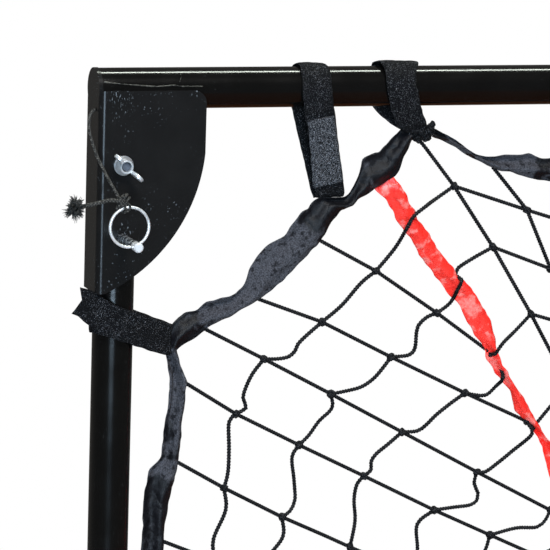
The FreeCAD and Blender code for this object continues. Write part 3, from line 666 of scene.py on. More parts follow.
def slack_between(a, b, chance):
    """Places that a slack cord passes between two knots: as seen, or a soft S that differs each time."""
    seen = seen_between(a, b)
    if seen:
        return seen
    across = Vector((b.y - a.y, a.x - b.x, 0))
    swing = chance.uniform(0.02, 0.15) * chance.choice((-1, 1))
    return [a + (b - a) * 0.3 + across * swing, a + (b - a) * 0.7 - across * swing * chance.uniform(0.4, 1.0)]


def curved(points, spacing=CORD_STEP):
    """The same points with a smooth line through them."""
    ends = [points[0] * 2 - points[1]] + list(points) + [points[-1] * 2 - points[-2]]
    line = []
    for p0, p1, p2, p3 in zip(ends, ends[1:], ends[2:], ends[3:]):
        count = max(1, round((p2 - p1).length / spacing))
        for i in range(count):
            t = i / count
            line.append((p1 * 2 + (p2 - p0) * t + (p0 * 2 - p1 * 5 + p2 * 4 - p3) * t * t
                         + (p1 * 3 - p0 - p2 * 3 + p3) * t * t * t) / 2)
    return line + [points[-1]]


# %% Cords of one half of the net
RIDGE = [*SIDE_COLUMNS[0][:4], on_net(530, 422), on_net(546, 442), Vector((-0.1, 0.588, 0)), Vector((0, 0.4, 0))]
PAST_EDGE = -0.035           # share_in where the cords end, inside the tape
ON_RIDGE = 1e-4              # a line on the ridge counts as in both zones


def ridge_height(x):
    """Height of the line where cords from the top edge meet those from the side: it ends in the ribbon."""
    for a, b in zip(RIDGE, RIDGE[1:]):
        if a.x <= x <= b.x:
            return a.y + (b.y - a.y) * (x - a.x) / (b.x - a.x)
    return 1.0


def in_net(p):
    return share_in(p.x, p.y) >= PAST_EDGE and p.x <= 1e-6


def in_side_zone(p):
    return in_net(p) and p.y <= ridge_height(p.x) + ON_RIDGE


def in_top_zone(p):
    return in_net(p) and p.y >= ridge_height(p.x) - ON_RIDGE


def kept_part(line, inside):
    """The stretch of a line that lies in the zone, with its cut ends found by halving."""
    flags = [inside(p) for p in line]
    if not any(flags):
        return []
    first, last = flags.index(True), len(flags) - 1 - flags[::-1].index(True)
    part = list(line[first:last + 1])
    for end, outer in ((0, first - 1), (-1, last + 1)):
        if 0 <= outer < len(line):
            near, far = part[end], line[outer]
            for _ in range(NEARINGS):
                middle = (near + far) / 2
                near, far = (middle, far) if inside(middle) else (near, middle)
            part.insert(0, near) if end == 0 else part.append(near)
    return part


def half_net_lines(seed):
    chance = random.Random(seed)
    lines = []
    for columns, inside in ((TOP_COLUMNS, in_top_zone), (SIDE_COLUMNS, in_side_zone)):
        for column in columns:
            lines += [kept_part(curved([a, b]), inside) for a, b in zip(column, column[1:])]
        for left, right in zip(columns, columns[1:]):
            for a, b in list(zip(left, right))[1:]:
                if min(a.x, b.x) > 0:
                    continue
                middle = [] if columns is TOP_COLUMNS else slack_between(a, b, chance)
                lines.append(kept_part(curved([a, *middle, b]), inside))
    for a, b in list(zip(TOP_COLUMNS[-1], RIDGE))[1:4]:
        lines.append(kept_part(curved([a, *seen_between(a, b), b]), in_top_zone))
    for a in TOP_COLUMNS[-1][4:]:
        lines.append(kept_part(curved([a, a + TO_RIBBON]), in_top_zone))
    return [line for line in lines if len(line) > 1]


HALF_NET = {"left": half_net_lines(3), "right": half_net_lines(8)}
print("lines in a half", len(HALF_NET["left"]))

# %% [markdown]
# Geometry Nodes turn the lines into cord: every edge becomes a round tube, and every point marked
# as a knot gets two small crossed coils of the same cord. The tree has named inputs for the cord's
# thickness, its sides and the knot's size, and it ends in Realize Instances and Set Material.

# %% Tree: knotted cord
def build_cord_tree():
    tree, start, end = new_group(
        "knotted_cord", "GeometryNodeTree",
        [("Lines", "Geometry", None), ("Cord Radius", "Float", 0.0013), ("Knot Radius", "Float", 0.0018),
         ("Knot Cord Radius", "Float", 0.0013), ("Bead Length", "Float", 0.001), ("Sides", "Int", 6),
         ("Finish", "Material", None)], [("Net", "Geometry", None)])

    def node(kind, ins=(), **settings):
        return add(tree, "GeometryNode" + kind, ins, **settings)

    def tube(curve, radius, sides):
        profile = node("CurvePrimitiveCircle", {"Resolution": sides, "Radius": radius})
        return node("CurveToMesh", {"Curve": curve, "Profile Curve": profile})

    def join(*parts):
        joint = node("JoinGeometry")
        for part in parts:
            tree.links.new(part.outputs[0], joint.inputs[0])
        return joint

    odd = add(tree, "ShaderNodeMath", {0: node("InputIndex"), 1: 2.0}, operation="MODULO")
    swell = add(tree, "ShaderNodeMapRange", {"Value": odd, "To Min": 0.82, "To Max": 1.14})
    beads = node("ResampleCurve", {"Curve": node("MeshToCurve", {"Mesh": start["Lines"]}),
                                   "Length": start["Bead Length"]}, mode="LENGTH")
    thick = node("SetCurveRadius", {"Curve": beads, "Radius": swell})
    cords = tube(thick, start["Cord Radius"], start["Sides"])
    plug(tree, cords, {"Scale": swell, "Fill Caps": True})

    circle = node("CurvePrimitiveCircle", {"Resolution": 9, "Radius": start["Knot Radius"]})
    coil = tube(circle, start["Knot Cord Radius"], 5)
    knot = join(*(node("Transform", {"Geometry": coil, "Rotation": (math.radians(tip), math.radians(turn), 0)})
                  for tip, turn in ((78, 20), (-35, 64))))
    marked = node("InputNamedAttribute", {"Name": "knot"}, data_type="BOOLEAN")
    spin = add(tree, "FunctionNodeRandomValue", {"Max": (6.28, 6.28, 6.28), "Seed": 4}, data_type="FLOAT_VECTOR")
    knots = node("InstanceOnPoints", {"Points": start["Lines"], "Selection": marked.outputs["Attribute"],
                                      "Instance": knot, "Rotation": spin.outputs["Value"]})

    smooth = node("SetShadeSmooth", {"Geometry": join(cords, knots)})
    real = node("RealizeInstances", {"Geometry": smooth})
    plug(tree, end, {"Net": node("SetMaterial", {"Geometry": real, "Material": start["Finish"]})})
    return tree


CORD_TREE = build_cord_tree()


# %% Net cords as two halves
KNOTTED_FROM = 0.03          # share_in beyond which the ends of cords are knots
MIDDLE_GAP = 0.002           # the right half leaves the knots on the middle line to the left half


def set_input(modifier, label, value):
    for item in modifier.node_group.interface.items_tree:
        if item.item_type == "SOCKET" and item.in_out == "INPUT" and item.name == label:
            modifier[item.identifier] = value


def line_mesh(lines, way, with_middle_knots):
    """Points and edges of the cords. Ends that meet are one point, and most of these are knots."""
    points, edges, knots, index = [], [], [], {}
    for line in lines:
        ids = []
        for i, p in enumerate(line):
            at_end = i in (0, len(line) - 1)
            key = end_key(p) if at_end else len(points)
            if key not in index:
                index[key] = len(points)
                place = lifted(p)
                points.append((place.x * way, place.y, place.z))
                knots.append(at_end and key not in TAPE_ENDS and share_in(p.x, p.y) > KNOTTED_FROM
                             and (with_middle_knots or p.x < -MIDDLE_GAP))
            ids.append(index[key])
        edges += [(a, b) for a, b in zip(ids, ids[1:]) if a != b]
    mesh = bpy.data.meshes.new("net_lines")
    mesh.from_pydata(points, edges, [])
    mesh.attributes.new("knot", "BOOLEAN", "POINT").data.foreach_set("value", knots)
    return mesh


def net_half(side, way):
    holder = in_scene("net_lines", line_mesh(HALF_NET[side], way, side == "left"))
    modifier = holder.modifiers.new("cord", "NODES")
    modifier.node_group = CORD_TREE
    set_input(modifier, "Finish", net_cord)
    piece = in_scene("net_cords_" + side, evaluated(holder))
    print(piece.name, "faces", len(piece.data.polygons))
    return piece


NETS = {side: net_half(side, way) for side, way in SIDES.items()}

# %% [markdown]
# Border tape, ribbons and straps are all strips. A strip follows a line of points, has its own width
# at each of them, and can be rippled across its width, as a gathered tape is. It is built as a closed
# body with a real thickness, and its UV map is in metres so that the weave keeps its scale.

# %% Strips
EDGE_SHARE = 0.35            # thickness at a strip's edges, as a share of its full thickness
CUT_SHARE = 0.97             # rows past a notch's cut close up by this share, so that none coincide


def running(points):
    """Length along the line at each of its points."""
    runs = [0.0]
    for a, b in zip(points, points[1:]):
        runs.append(runs[-1] + (b - a).length)
    return runs


def ahead_at(points, i):
    """Direction of the line at its point i."""
    return (points[min(i + 1, len(points) - 1)] - points[max(i - 1, 0)]).normalized()


def strip_mesh(name, spine, widths, sides, shades, thickness, across, ripple, notch=0.0):
    """spine, widths, sides and shades have one entry for each cross-section. ripple gives height and
    creep, and notch is how far the middle of the far end is cut back from a straight cut."""
    points, faces, uvs = [], [], []
    runs, last = running(spine), len(spine) - 1
    for i, (centre, run) in enumerate(zip(spine, runs)):
        ahead, side = ahead_at(spine, i), sides[i].normalized()
        normal = ahead.cross(side).normalized()
        for face in (1, -1):
            for k in range(across + 1):
                u = k / across * 2 - 1
                out, creep = ripple(u, run)
                rounding = math.sqrt(max(0.0, 1 - abs(u) ** 8))
                back = ahead * max(0.0, run - runs[-1] + notch * (1 - abs(u))) * CUT_SHARE
                points.append(centre + side * (u * widths[i] / 2 + creep) - back + normal
                              * (out + face * thickness / 2 * (EDGE_SHARE + (1 - EDGE_SHARE) * rounding)))
                uvs.append((u * widths[i] / 2, run))
    loop = [*range(across + 1), *range(2 * across + 1, across, -1)]
    ring = len(loop)
    for i in range(last):
        for here, there in zip(loop, loop[1:] + loop[:1]):
            faces.append((i * ring + here, i * ring + there, (i + 1) * ring + there, (i + 1) * ring + here))
    faces += [loop[::-1], [last * ring + i for i in loop]]
    mesh = bpy.data.meshes.new(name)
    mesh.from_pydata(points, [], faces)
    layer = mesh.uv_layers.new(name="UVMap")
    for corner in mesh.loops:
        layer.data[corner.index].uv = uvs[corner.vertex_index]
    shade = [shades[i // ring] for i in range(len(points))]
    mesh.attributes.new("shade", "FLOAT", "POINT").data.foreach_set("value", shade)
    return filled(mesh, bmesh_of(mesh), outward=True, smooth=True)


# %% [markdown]
# The border is a nylon tape, 29 mm wide when flat, that the net's edge is threaded through. It is
# gathered between the straps, so it bunches to a cord at a strap and spreads out again. Where it is
# narrow, its ripples stand higher, because the cloth has to go somewhere. The visible stretch follows
# the photograph, and the rest goes round the opening in the same manner.

# %% Border tape
TAPE_FLAT = 0.029
TAPE_THICKNESS = 0.0009
PIXEL = 0.00062              # metres to a pixel at the frame
TAPE_SEEN = [                # pixels of the outer and the inner edge, and how far the tape's back shows
    (550, 159, 550, 182, 0.6), (540, 158, 539, 180, 0.7), (531, 153, 529, 178, 0.2),
    (513, 154, 511, 173, 0.1), (497, 155, 497, 170, 0.1), (485, 157, 486, 165, 0.4),
    (475, 153, 473, 158, 0.5), (458, 141, 455, 147, 0.4), (447, 135, 444, 141, 0.5),
    (434, 128, 431, 136, 0.8), (420, 122, 420, 141, 1.0), (401, 128, 413, 140, 0.9),
    (390, 140, 406, 157, 0.9), (379, 153, 397, 177, 0.9), (374, 153, 387, 183, 0.8),
    (361, 158, 375, 189, 0.55), (359, 170, 366, 196, 0.6), (355, 180, 360, 198, 0.8),
    (350, 191, 354, 207, 0.9), (344, 197, 348, 209, 0.9), (318, 197, 341, 211, 0.8),
    (311, 203, 338, 217, 0.8), (308, 208, 329, 229, 0.75), (299, 214, 320, 243, 0.5),
    (284, 236, 308, 256, 0.1), (268, 245, 296, 268, 0.05), (264, 249, 291, 273, 0.05),
    (249, 270, 276, 288, 0.05), (246, 281, 269, 293, 0.15), (240, 289, 262, 299, 0.1),
    (228, 296, 239, 313, 0.1), (206, 301, 217, 324, 0.2), (198, 310, 210, 328, 0.4),
    (186, 312, 203, 333, 0.6), (179, 318, 192, 341, 0.8), (172, 324, 180, 349, 0.8),
    (163, 347, 178, 351, 0.4), (165, 356, 179, 358, 0.2), (168, 377, 184, 375, 0.2),
    (168, 386, 186, 382, 0.2), (167, 406, 184, 406, 0.35), (162, 431, 182, 437, 0.55),
    (161, 456, 179, 460, 0.45), (149, 468, 177, 472, 0.2), (145, 484, 174, 484, 0.8),
    (142, 508, 169, 509, 0.75), (141, 534, 164, 534, 0.7), (140, 552, 163, 552, 0.6)]
TAPE_ON = [(-0.412, 0.560, 26), (-0.414, 0.520, 20), (-0.411, 0.480, 26), (-0.413, 0.445, 13),
           (-0.409, 0.400, 24), (-0.407, 0.350, 30), (-0.405, 0.300, 20), (-0.409, 0.250, 27),
           (-0.406, 0.205, 20), (-0.405, 0.178, 13), (-0.395, 0.152, 20), (-0.365, 0.126, 30),
           (-0.335, 0.098, 32), (-0.306, 0.077, 17), (-0.280, 0.067, 24), (-0.235, 0.064, 30),
           (-0.185, 0.067, 20), (-0.140, 0.064, 28), (-0.090, 0.066, 31), (-0.045, 0.062, 20),
           (0.0, 0.063, 24)]
TAPE_TOP = [(0.0, 0.8225, 20), (-0.045, 0.8175, 26), (-0.095, 0.8140, 21), (-0.135, 0.8150, 27)]
TAPE_STEP = 0.0022           # length between cross-sections
TAPE_ACROSS = 12             # faces across the tape


def across_line(route):
    """(x, z, width in pixels) places as pairs of edges square to the line through them."""
    places = [Vector((x, z)) for x, z, _ in route]
    pairs = []
    for i, place in enumerate(places):
        ahead = ahead_at(places, i)
        out = Vector((ahead.y, -ahead.x)) * route[i][2] * PIXEL / 2
        pairs.append((place + out, place - out, 0.5 + 0.4 * math.sin(i * 2.1)))
    return pairs


def strip_frames(pairs, way, spacing=TAPE_STEP):
    """Even cross-sections from pairs of edges: their middles, widths, vectors across and shades."""
    rows = []
    for (a0, b0, s0), (a1, b1, s1) in zip(pairs, pairs[1:]):
        steps = max(1, round(max((a1 - a0).length, (b1 - b0).length) / spacing))
        rows += [(a0.lerp(a1, i / steps), b0.lerp(b1, i / steps), s0 + (s1 - s0) * i / steps)
                 for i in range(steps)]
    rows.append(pairs[-1])
    inner = [((a0 + a1 * 2 + a2) / 4, (b0 + b1 * 2 + b2) / 4, s1) for (a0, b0, _), (a1, b1, s1), (a2, b2, _)
             in zip(rows, rows[1:], rows[2:])]
    rows = [rows[0], *inner, rows[-1]]
    crosses = [b - a for a, b, _ in rows]
    return ([(a + b) / 2 for a, b, _ in rows], [cross.length for cross in crosses],
            [Vector((cross.x * way, 0.0, cross.y)) for cross in crosses], [shade for _, _, shade in rows])


def crumple(widths, line, flat, seed, waves=2.5, rough=0.0011, fray=0.0008):
    """Ripple for a strip whose flat width is more than the room it has."""
    runs = running(line)

    def ripple(u, run):
        width = min(widths[min(bisect.bisect_left(runs, run - 1e-6), len(widths) - 1)], flat)
        height = math.sqrt(max(0.0, flat ** 2 - width ** 2)) / (4 * waves)
        wander = noise.noise(Vector((run * 22, seed, 0.0))) * 3
        fold = math.sin(u * math.pi * waves / 2 + wander) * height
        wrinkle = noise.noise(Vector((run * 95, u * 2.2, seed))) * rough
        fine = noise.noise(Vector((run * 260, u * 5.0, seed + 9))) * rough * 0.45
        edge = noise.noise(Vector((run * 150, seed + 5, u))) * fray
        return fold + wrinkle + fine, edge
    return ripple


def border_piece(name, route, way, seed):
    line, widths, sides, shades = strip_frames(route, way)
    spine = [Vector((p.x * way, 0.0, p.y)) for p in line]
    ripple = crumple(widths, spine, TAPE_FLAT, seed)
    mesh = strip_mesh(name, spine, widths, sides, shades, TAPE_THICKNESS, TAPE_ACROSS, ripple)
    return new_piece(name, mesh, border_tape)


TAPE_ROUTE = (across_line(TAPE_TOP)
              + [(at_front(ax, ay), at_front(bx, by), shade) for ax, ay, bx, by, shade in TAPE_SEEN]
              + across_line(TAPE_ON))
TOP_END = len(TAPE_TOP) + 10          # the top run ends at the inner tie
LOW_START = len(TAPE_ROUTE) - 8       # the low run starts at the lower corner
TAPE_RUNS = {"top": TAPE_ROUTE[:TOP_END], "side": TAPE_ROUTE[TOP_END - 1:LOW_START],
             "low": TAPE_ROUTE[LOW_START - 1:]}
BORDERS = {(part, side): border_piece("border_" + part + "_" + side, run, way, 1.7 + way)
           for side, way in SIDES.items() for part, run in TAPE_RUNS.items()}
print("border pieces", [p.name for p in BORDERS.values()])

# %% [markdown]
# Two red ribbons cross in the middle of the bag as a target. Each is a shiny nylon band about 16 mm
# wide, threaded over and under the net, so it twists narrow and spreads again along its way.

# %% Target ribbons
RIBBON_FLAT = 0.016
TUCK = 0.014                 # length at the start that dips behind the tape
RIBBON_THICKNESS = 0.0005
RIBBON_SEEN = [              # pixels of the left and the right edge
    (369, 180, 388, 169), (376, 189, 395, 178), (384, 199, 401, 189), (393, 213, 409, 204),
    (402, 229, 418, 220), (410, 239, 427, 233), (416, 252, 434, 245), (425, 263, 443, 257),
    (440, 284, 457, 275), (450, 296, 466, 284), (459, 305, 474, 293), (464, 316, 480, 304),
    (472, 330, 487, 314), (479, 341, 492, 327), (484, 350, 494, 346), (486, 361, 498, 357),
    (500, 380, 508, 376), (509, 391, 519, 392), (514, 411, 528, 406), (526, 422, 535, 421),
    (533, 431, 541, 431), (540, 445, 550, 444)]
RIBBON_ON = [(-0.100, 0.588, 25), (-0.085, 0.558, 12), (-0.066, 0.522, 24), (-0.046, 0.484, 26),
             (-0.031, 0.456, 13), (-0.015, 0.427, 22), (0.0, 0.400, 24)]
RIBBON_OUT = [(0.0, 0.400, 24), (0.028, 0.358, 26), (0.055, 0.317, 12), (0.085, 0.272, 26),
              (0.120, 0.220, 24), (0.145, 0.183, 12), (0.165, 0.153, 22), (0.215, 0.149, 25),
              (0.270, 0.144, 12), (0.320, 0.140, 24), (0.356, 0.137, 18)]
RIBBON_STEP = 0.002          # length between cross-sections
RIBBON_ACROSS = 10           # faces across the ribbon
WEAVE_HEIGHT, WEAVE_LENGTH = 0.0004, 0.026


def ribbon_piece(name, route, way, seed, out):
    line, widths, sides, _ = strip_frames(route, way, RIBBON_STEP)
    tuck = TUCK if name.endswith("upper") else 0.0
    spine = []
    for i, p in enumerate(line):
        weave = math.sin(i * RIBBON_STEP / WEAVE_LENGTH) * WEAVE_HEIGHT
        place = lifted(Vector((p.x, p.y, out + weave - max(0.0, tuck - i * RIBBON_STEP) * 0.5)))
        spine.append(Vector((place.x * way, place.y, place.z)))
    ripple = crumple(widths, spine, RIBBON_FLAT, seed, 1.5, 0.0009, 0.0012)
    mesh = strip_mesh(name, spine, widths, sides, [0.0] * len(spine), RIBBON_THICKNESS, RIBBON_ACROSS, ripple)
    return new_piece(name, mesh, ribbon_red)


RIBBON_UPPER = [tuple(Vector(on_net(*edge).xy) for edge in (pixels[:2], pixels[2:])) + (0.0,)
                for pixels in RIBBON_SEEN] + across_line(RIBBON_ON)
RIBBON_LOWER = across_line(RIBBON_OUT)
RIBBONS = {name: ribbon_piece("ribbon_" + name, route, way, seed, out) for name, route, way, seed, out in
           (("a_upper", RIBBON_UPPER, 1, 2.3, 0.0026), ("a_lower", RIBBON_LOWER, 1, 3.1, 0.0026),
            ("b_upper", RIBBON_UPPER, -1, 7.3, 0.0046), ("b_lower", RIBBON_LOWER, -1, 8.9, 0.0046))}
print("ribbons", len(RIBBONS))

# %% [markdown]
# The straps are hook-and-loop tape, 19 mm wide. Each goes round the bar or a leg and takes in the
# border. Their lines are given in millimetres from the tube's axis: x along the bar, y away from the
# player and z up, and the last number is the width there.

# %% Strap lines
OUTER_LOOP = [(15.8, 0.8, -70, 19.5), (15.6, -2, -68, 19.5), (14.1, -3.5, -60.6, 19.5), (10.1, -6, -42.4, 19),
              (5.7, -9, -21.1, 19), (2.2, -12.8, -10, 19), (0.5, -14.2, -0.4, 19.5), (0.6, -10, 10, 19),
              (0.9, 0, 14.4, 18), (0.5, 10, 10.2, 18.5), (0.3, 14.2, 0, 19), (1.5, 12.8, -9, 19),
              (2.7, 11, -14.8, 19), (5.8, 9, -28.5, 19), (9.5, 6.5, -44.1, 19), (13.1, 4.4, -59.8, 19),
              (15.3, 3, -69, 18.5)]
OUTER_FLAP = [(4.4, -11.8, -18.5, 17.5), (6.6, -10, -30, 18), (9.4, -7.8, -42.1, 19),
              (13.2, -5.2, -61.5, 20.5)]
INNER_LOOP = [(24, -2, -30, 10), (19.5, -5.5, -25.5, 14), (12.8, -8.8, -18.8, 19), (8.1, -12.4, -8.7, 19.5),
              (4.9, -14.3, 0.4, 19.5), (5, -10.8, 10, 20.5), (6.6, -2, 15.4, 26.5), (5.4, 9, 12.4, 25),
              (2, 14.2, 0, 19), (2.4, 13, -8, 17), (4, 11.5, -13.5, 15), (8, 9, -18.5, 13),
              (13, 6, -23.5, 11), (20, 2.5, -28, 9)]
LEG_LOOP = [(10, -11.4, -3, 19), (0, -14.2, 0, 19), (-10, -10.2, 2, 19), (-14.4, 0, 2, 19),
            (-10, 10.2, 1, 19), (0, 14.4, -1, 19), (10, 11.8, -4, 19), (21, 7.4, -8, 19), (32, 4, -12, 19),
            (37, 1.6, -14, 19), (37.5, -1.4, -14, 19.5), (32, -4.6, -12.2, 20), (21, -9.4, -8, 20),
            (10, -13.6, -3.6, 20), (0, -16, 0, 20), (-9, -14, 4, 20), (-15, -12, 8, 19),
            (-21, -11.6, 12.6, 18), (-27.5, -12.4, 15, 17)]
KNOT_LUMPS = [(422, 132, 4.6), (414, 131, 3.6), (429, 130, 3.4), (418, 138, 3.2), (426, 137, 3.0),
              (432, 124, 1.9), (405, 129, 2.6)]
LUMPS_Y = -0.002             # the lumps lie this far in front of the bar's axis
STRAP_SEEN_Z = 0.724
STRAP_THICKNESS = 0.0014
STRAP_STEP = 0.0016          # length between cross-sections
STRAP_ACROSS = 12            # faces across a strap
OUTER_AT, INNER_AT = 0.317, 0.265     # how far the ties on the bar are from its middle
MIDDLE_DROP = 0.72           # the middle tie hangs less far down than the others
HANGS_BELOW = -14            # what lies lower than this, in millimetres, hangs


def strap_mesh(name, centre, line, way, flat_way, seed, notch=0.0, drop=1.0, hooks=0.0):
    """Strap round a tube through centre. flat_way is the axis its width lies along."""
    spots = [Vector((x * way, y, z * (drop if z < HANGS_BELOW else 1.0))) * MM for x, y, z, _ in line]
    course = curved(spots, STRAP_STEP)
    marks, runs, widths = running(spots), running(course), []
    for run in runs:
        at = run * marks[-1] / runs[-1]
        k = min(bisect.bisect_right(marks, at + 1e-9) - 1, len(line) - 2)
        t = (at - marks[k]) / (marks[k + 1] - marks[k])
        widths.append((line[k][3] + (line[k + 1][3] - line[k][3]) * t) * MM)
    spine = [centre + p for p in course]
    sides = []
    for i in range(len(spine)):
        ahead = ahead_at(spine, i)
        sides.append(flat_way - ahead * ahead.dot(flat_way))

    def ripple(u, run):
        rough = noise.noise(Vector((run * 420, u * 9, seed))) * 0.00022
        soft = noise.noise(Vector((run * 45, u * 1.2, seed))) * 0.0005
        return rough + soft, noise.noise(Vector((run * 160, seed, u))) * 0.0005

    return strip_mesh(name, spine, widths, sides, [hooks] * len(spine), STRAP_THICKNESS, STRAP_ACROSS,
                      ripple, notch)


def bunched_lump(name):
    """Bunched tape and cord where a tie is drawn tight: bumpy balls at (px, py, radius in mm)."""
    built = bmesh.new()
    for px, py, radius in KNOT_LUMPS:
        ball = bmesh.ops.create_icosphere(built, subdivisions=3, radius=radius * MM)
        middle = at_depth(px, py, LUMPS_Y)
        for vertex in ball["verts"]:
            swell = 1 + 0.55 * noise.noise(vertex.co * 420 + middle * 90) + 0.2 * noise.noise(vertex.co * 1100)
            vertex.co = middle + vertex.co * swell
    return filled(bpy.data.meshes.new(name), built, smooth=True)


# %% Straps on the bar and on the legs
STRAPS = {}


def bar_strap(node, way, at, loop, flap, seed, drop=1.0):
    name, centre = node + "_tied", Vector((-way * at, 0, BAR_Z))
    band = strap_mesh(name, centre, loop, way, X_AXIS, seed, drop=drop)
    if flap:
        end = strap_mesh(name, centre, flap, way, X_AXIS, seed + 3, drop=drop, hooks=1.0)
    else:
        end = bunched_lump(name)
        if way < 0:
            end.transform(Matrix.Scale(-1, 4, X_AXIS))
            end.flip_normals()
    STRAPS[node] = new_piece(name, merged(name, [band, end]), hook_loop)


for side, way in SIDES.items():
    bar_strap("bar_strap_outer_" + side, way, OUTER_AT, OUTER_LOOP, OUTER_FLAP, 2.0 + way)
    bar_strap("bar_strap_inner_" + side, way, INNER_AT, INNER_LOOP, None, 5.0 + way)
bar_strap("bar_strap_middle", 1, 0.0, OUTER_LOOP, OUTER_FLAP, 9.0, MIDDLE_DROP)
for side, way in SIDES.items():
    for place in ("upper", "middle", "lower"):
        node = "leg_strap_" + place + "_" + side
        centre = Vector((-way * LEG_X, 0, STRAP_SEEN_Z if place == "upper" else box_middle(node, 2)))
        line = [(x, y, -z if place == "lower" else z, width) for x, y, z, width in LEG_LOOP]
        mesh = strap_mesh(node, centre, line, way, Z_AXIS, 11.0 + way, notch=0.005)
        STRAPS[node] = new_piece(node + "_tied", mesh, hook_loop)
print("straps", len(STRAPS))

# %% [markdown]
# Each lock pin hangs on a thin braided tether from its bracket. The cord is a smooth curve through
# the same route as in the CAD model, and the points of that curve carry the tube. At the ring it ends
# in a knot of a few turns. Its cut end is a short tail with a frayed tuft.

# %% Tether places
TETHER_DIA = 0.002
TETHER_ROUTE = [(-1, -7, -12), (-4.6, -8.5, -14), (-6.3, -13, -24), (-3.6, -21, -38), (0.5, -33, -50.5),
                (3.6, -40.5, -58)]
RING_LEAN = math.radians(18.5)
RING_RADIUS = 0.0122
WIRE = 0.0018
KNOT_GAP = 0.0003            # between the ring's wire and the end of the tether
TAIL_DIA = 0.0025            # the cut end has opened a little
KNOT_CORD = 0.0014           # the cord pulled tight in its knot
TAIL_ROUTE = [(0.4, -1.2, 2.6), (-3.4, -2.0, 3.9), (-8.1, -1.6, 4.4), (-13.1, -1.2, 3.4), (-18.1, -1.2, 2.1),
              (-24.1, -1.2, 1.2), (-29.5, -1.0, 0.2)]
KNOT_TURNS = [((-1.5, 4.4), (3.1, 0, 4.3), (0, 1.9, 0)), ((0.4, 3.6), (3.1, 0, 3.0), (0.2, 2.0, 0)),
              ((1.1, 0.8), (0.1, 0, 3.4), (0.6, 1.9, 0)), ((1.1, 0.2), (2.6, -0.9, 0.5), (0, -0.9, 3.0)),
              ((-1.6, 5.6), (2.2, 0, -1.4), (0, 2.1, 0.3)), ((0.2, 7.6), (1.9, 0.4, 0.8), (0.2, 1.9, 0.2))]
TIGHT_TURNS = 4              # the right pin sits nearer to its nut, so its knot is smaller and leans away
TURN_STEPS = 20              # points round a turn of the knot


def ring_places(side, way):
    """Centre of the pull ring and the direction from it to the top of the ring."""
    up = Vector((-way * math.sin(RING_LEAN), 0, math.cos(RING_LEAN)))
    pin = Vector((-way * LEG_X, box_middle("pull_ring_" + side, 1), box_middle("lock_pin_" + side, 2)))
    return pin + up * RING_RADIUS, up


RING_PLACES = {side: ring_places(side, way) for side, way in SIDES.items()}
print("ring centres", [[round(v, 4) for v in centre] for centre, _ in RING_PLACES.values()])


# %% Tubes
def spline_points(route, resolution=16):
    """Points along a smooth curve that has the route as its control points."""
    data = bpy.data.curves.new("route", "CURVE")
    data.dimensions = "3D"
    spline = data.splines.new("NURBS")
    spline.points.add(len(route) - 1)
    for point, place in zip(spline.points, route):
        point.co = (*place, 1)
    spline.order_u = 3
    spline.use_endpoint_u = True
    spline.resolution_u = resolution
    return [v.co.copy() for v in evaluated(in_scene("route", data)).vertices]


def bridge(built, rings):
    """Faces from each ring of vertices to the next. A ring can be a single vertex."""
    for a, b in zip(rings, rings[1:]):
        for k in range(max(len(a), len(b))):
            quad = [a[k % len(a)], a[(k + 1) % len(a)], b[(k + 1) % len(b)], b[k % len(b)]]
            quad = [v for i, v in enumerate(quad) if v not in quad[:i]]
            if len(quad) > 2:
                built.faces.new(quad)


def tube_mesh(name, points, radius, around, end_scale=1.0):
    """A closed tube of this radius along the points."""
    built = bmesh.new()
    rings = []
    normal = Vector((0.3, 0.9, 0.2))
    for i, centre in enumerate(points):
        ahead = ahead_at(points, i)
        normal = (normal - ahead * normal.dot(ahead)).normalized()
        other = ahead.cross(normal)
        size = radius * (end_scale if i == len(points) - 1 else 1.0)
        rings.append([built.verts.new(centre + (normal * c + other * s) * size) for c, s in circle(around)])
    bridge(built, rings)
    built.faces.new(rings[0][::-1])
    built.faces.new(rings[-1])
    return filled(bpy.data.meshes.new(name), built, outward=True, smooth=True)


def tube_piece(name, points, diameter, around, mat):
    return new_piece(name, tube_mesh(name, points, diameter / 2, around), mat)


def knot_mesh(name, centre, turns):
    """Turns of cord pulled tight round the top of the ring, as one mesh of several tubes."""
    tubes = []
    for (x, z), long_half, short_half in turns:
        loop = [centre + (Vector((x, 0, z)) + Vector(long_half) * c + Vector(short_half) * s) * MM
                for c, s in circle(TURN_STEPS, TURN_STEPS + 1)]
        tubes.append(tube_mesh(name, loop, KNOT_CORD / 2, 8))
    return merged(name, tubes)


# %% Frayed end
TUFT_CLUMPS, CLUMP_FIBRES = 110, 7
FIBRE_RADIUS = 0.00022


def any_way(chance):
    return Vector([chance.gauss(0, 1) for _ in range(3)])


def tuft_mesh(name, end, ahead, seed):
    """Frayed end of a cord: short fine fibres that spread from the cut."""
    chance = random.Random(seed)
    fibres = []
    for _ in range(TUFT_CLUMPS):
        spread = any_way(chance).normalized()
        clump = (ahead * chance.uniform(0.0, 0.5) + spread).normalized()
        bend = any_way(chance).normalized()
        reach = chance.uniform(0.0028, 0.0056)
        for _ in range(CLUMP_FIBRES):
            way = (clump + any_way(chance) * 0.16).normalized()
            length = reach * chance.uniform(0.75, 1.15)
            root = end + spread * 0.0012
            fibre = [root + way * length * t + bend * length * 0.5 * t * t for t in (0, 0.35, 0.7, 1.0)]
            fibres.append(tube_mesh(name, fibre, FIBRE_RADIUS, 3, 0.6))
    return merged(name, fibres)


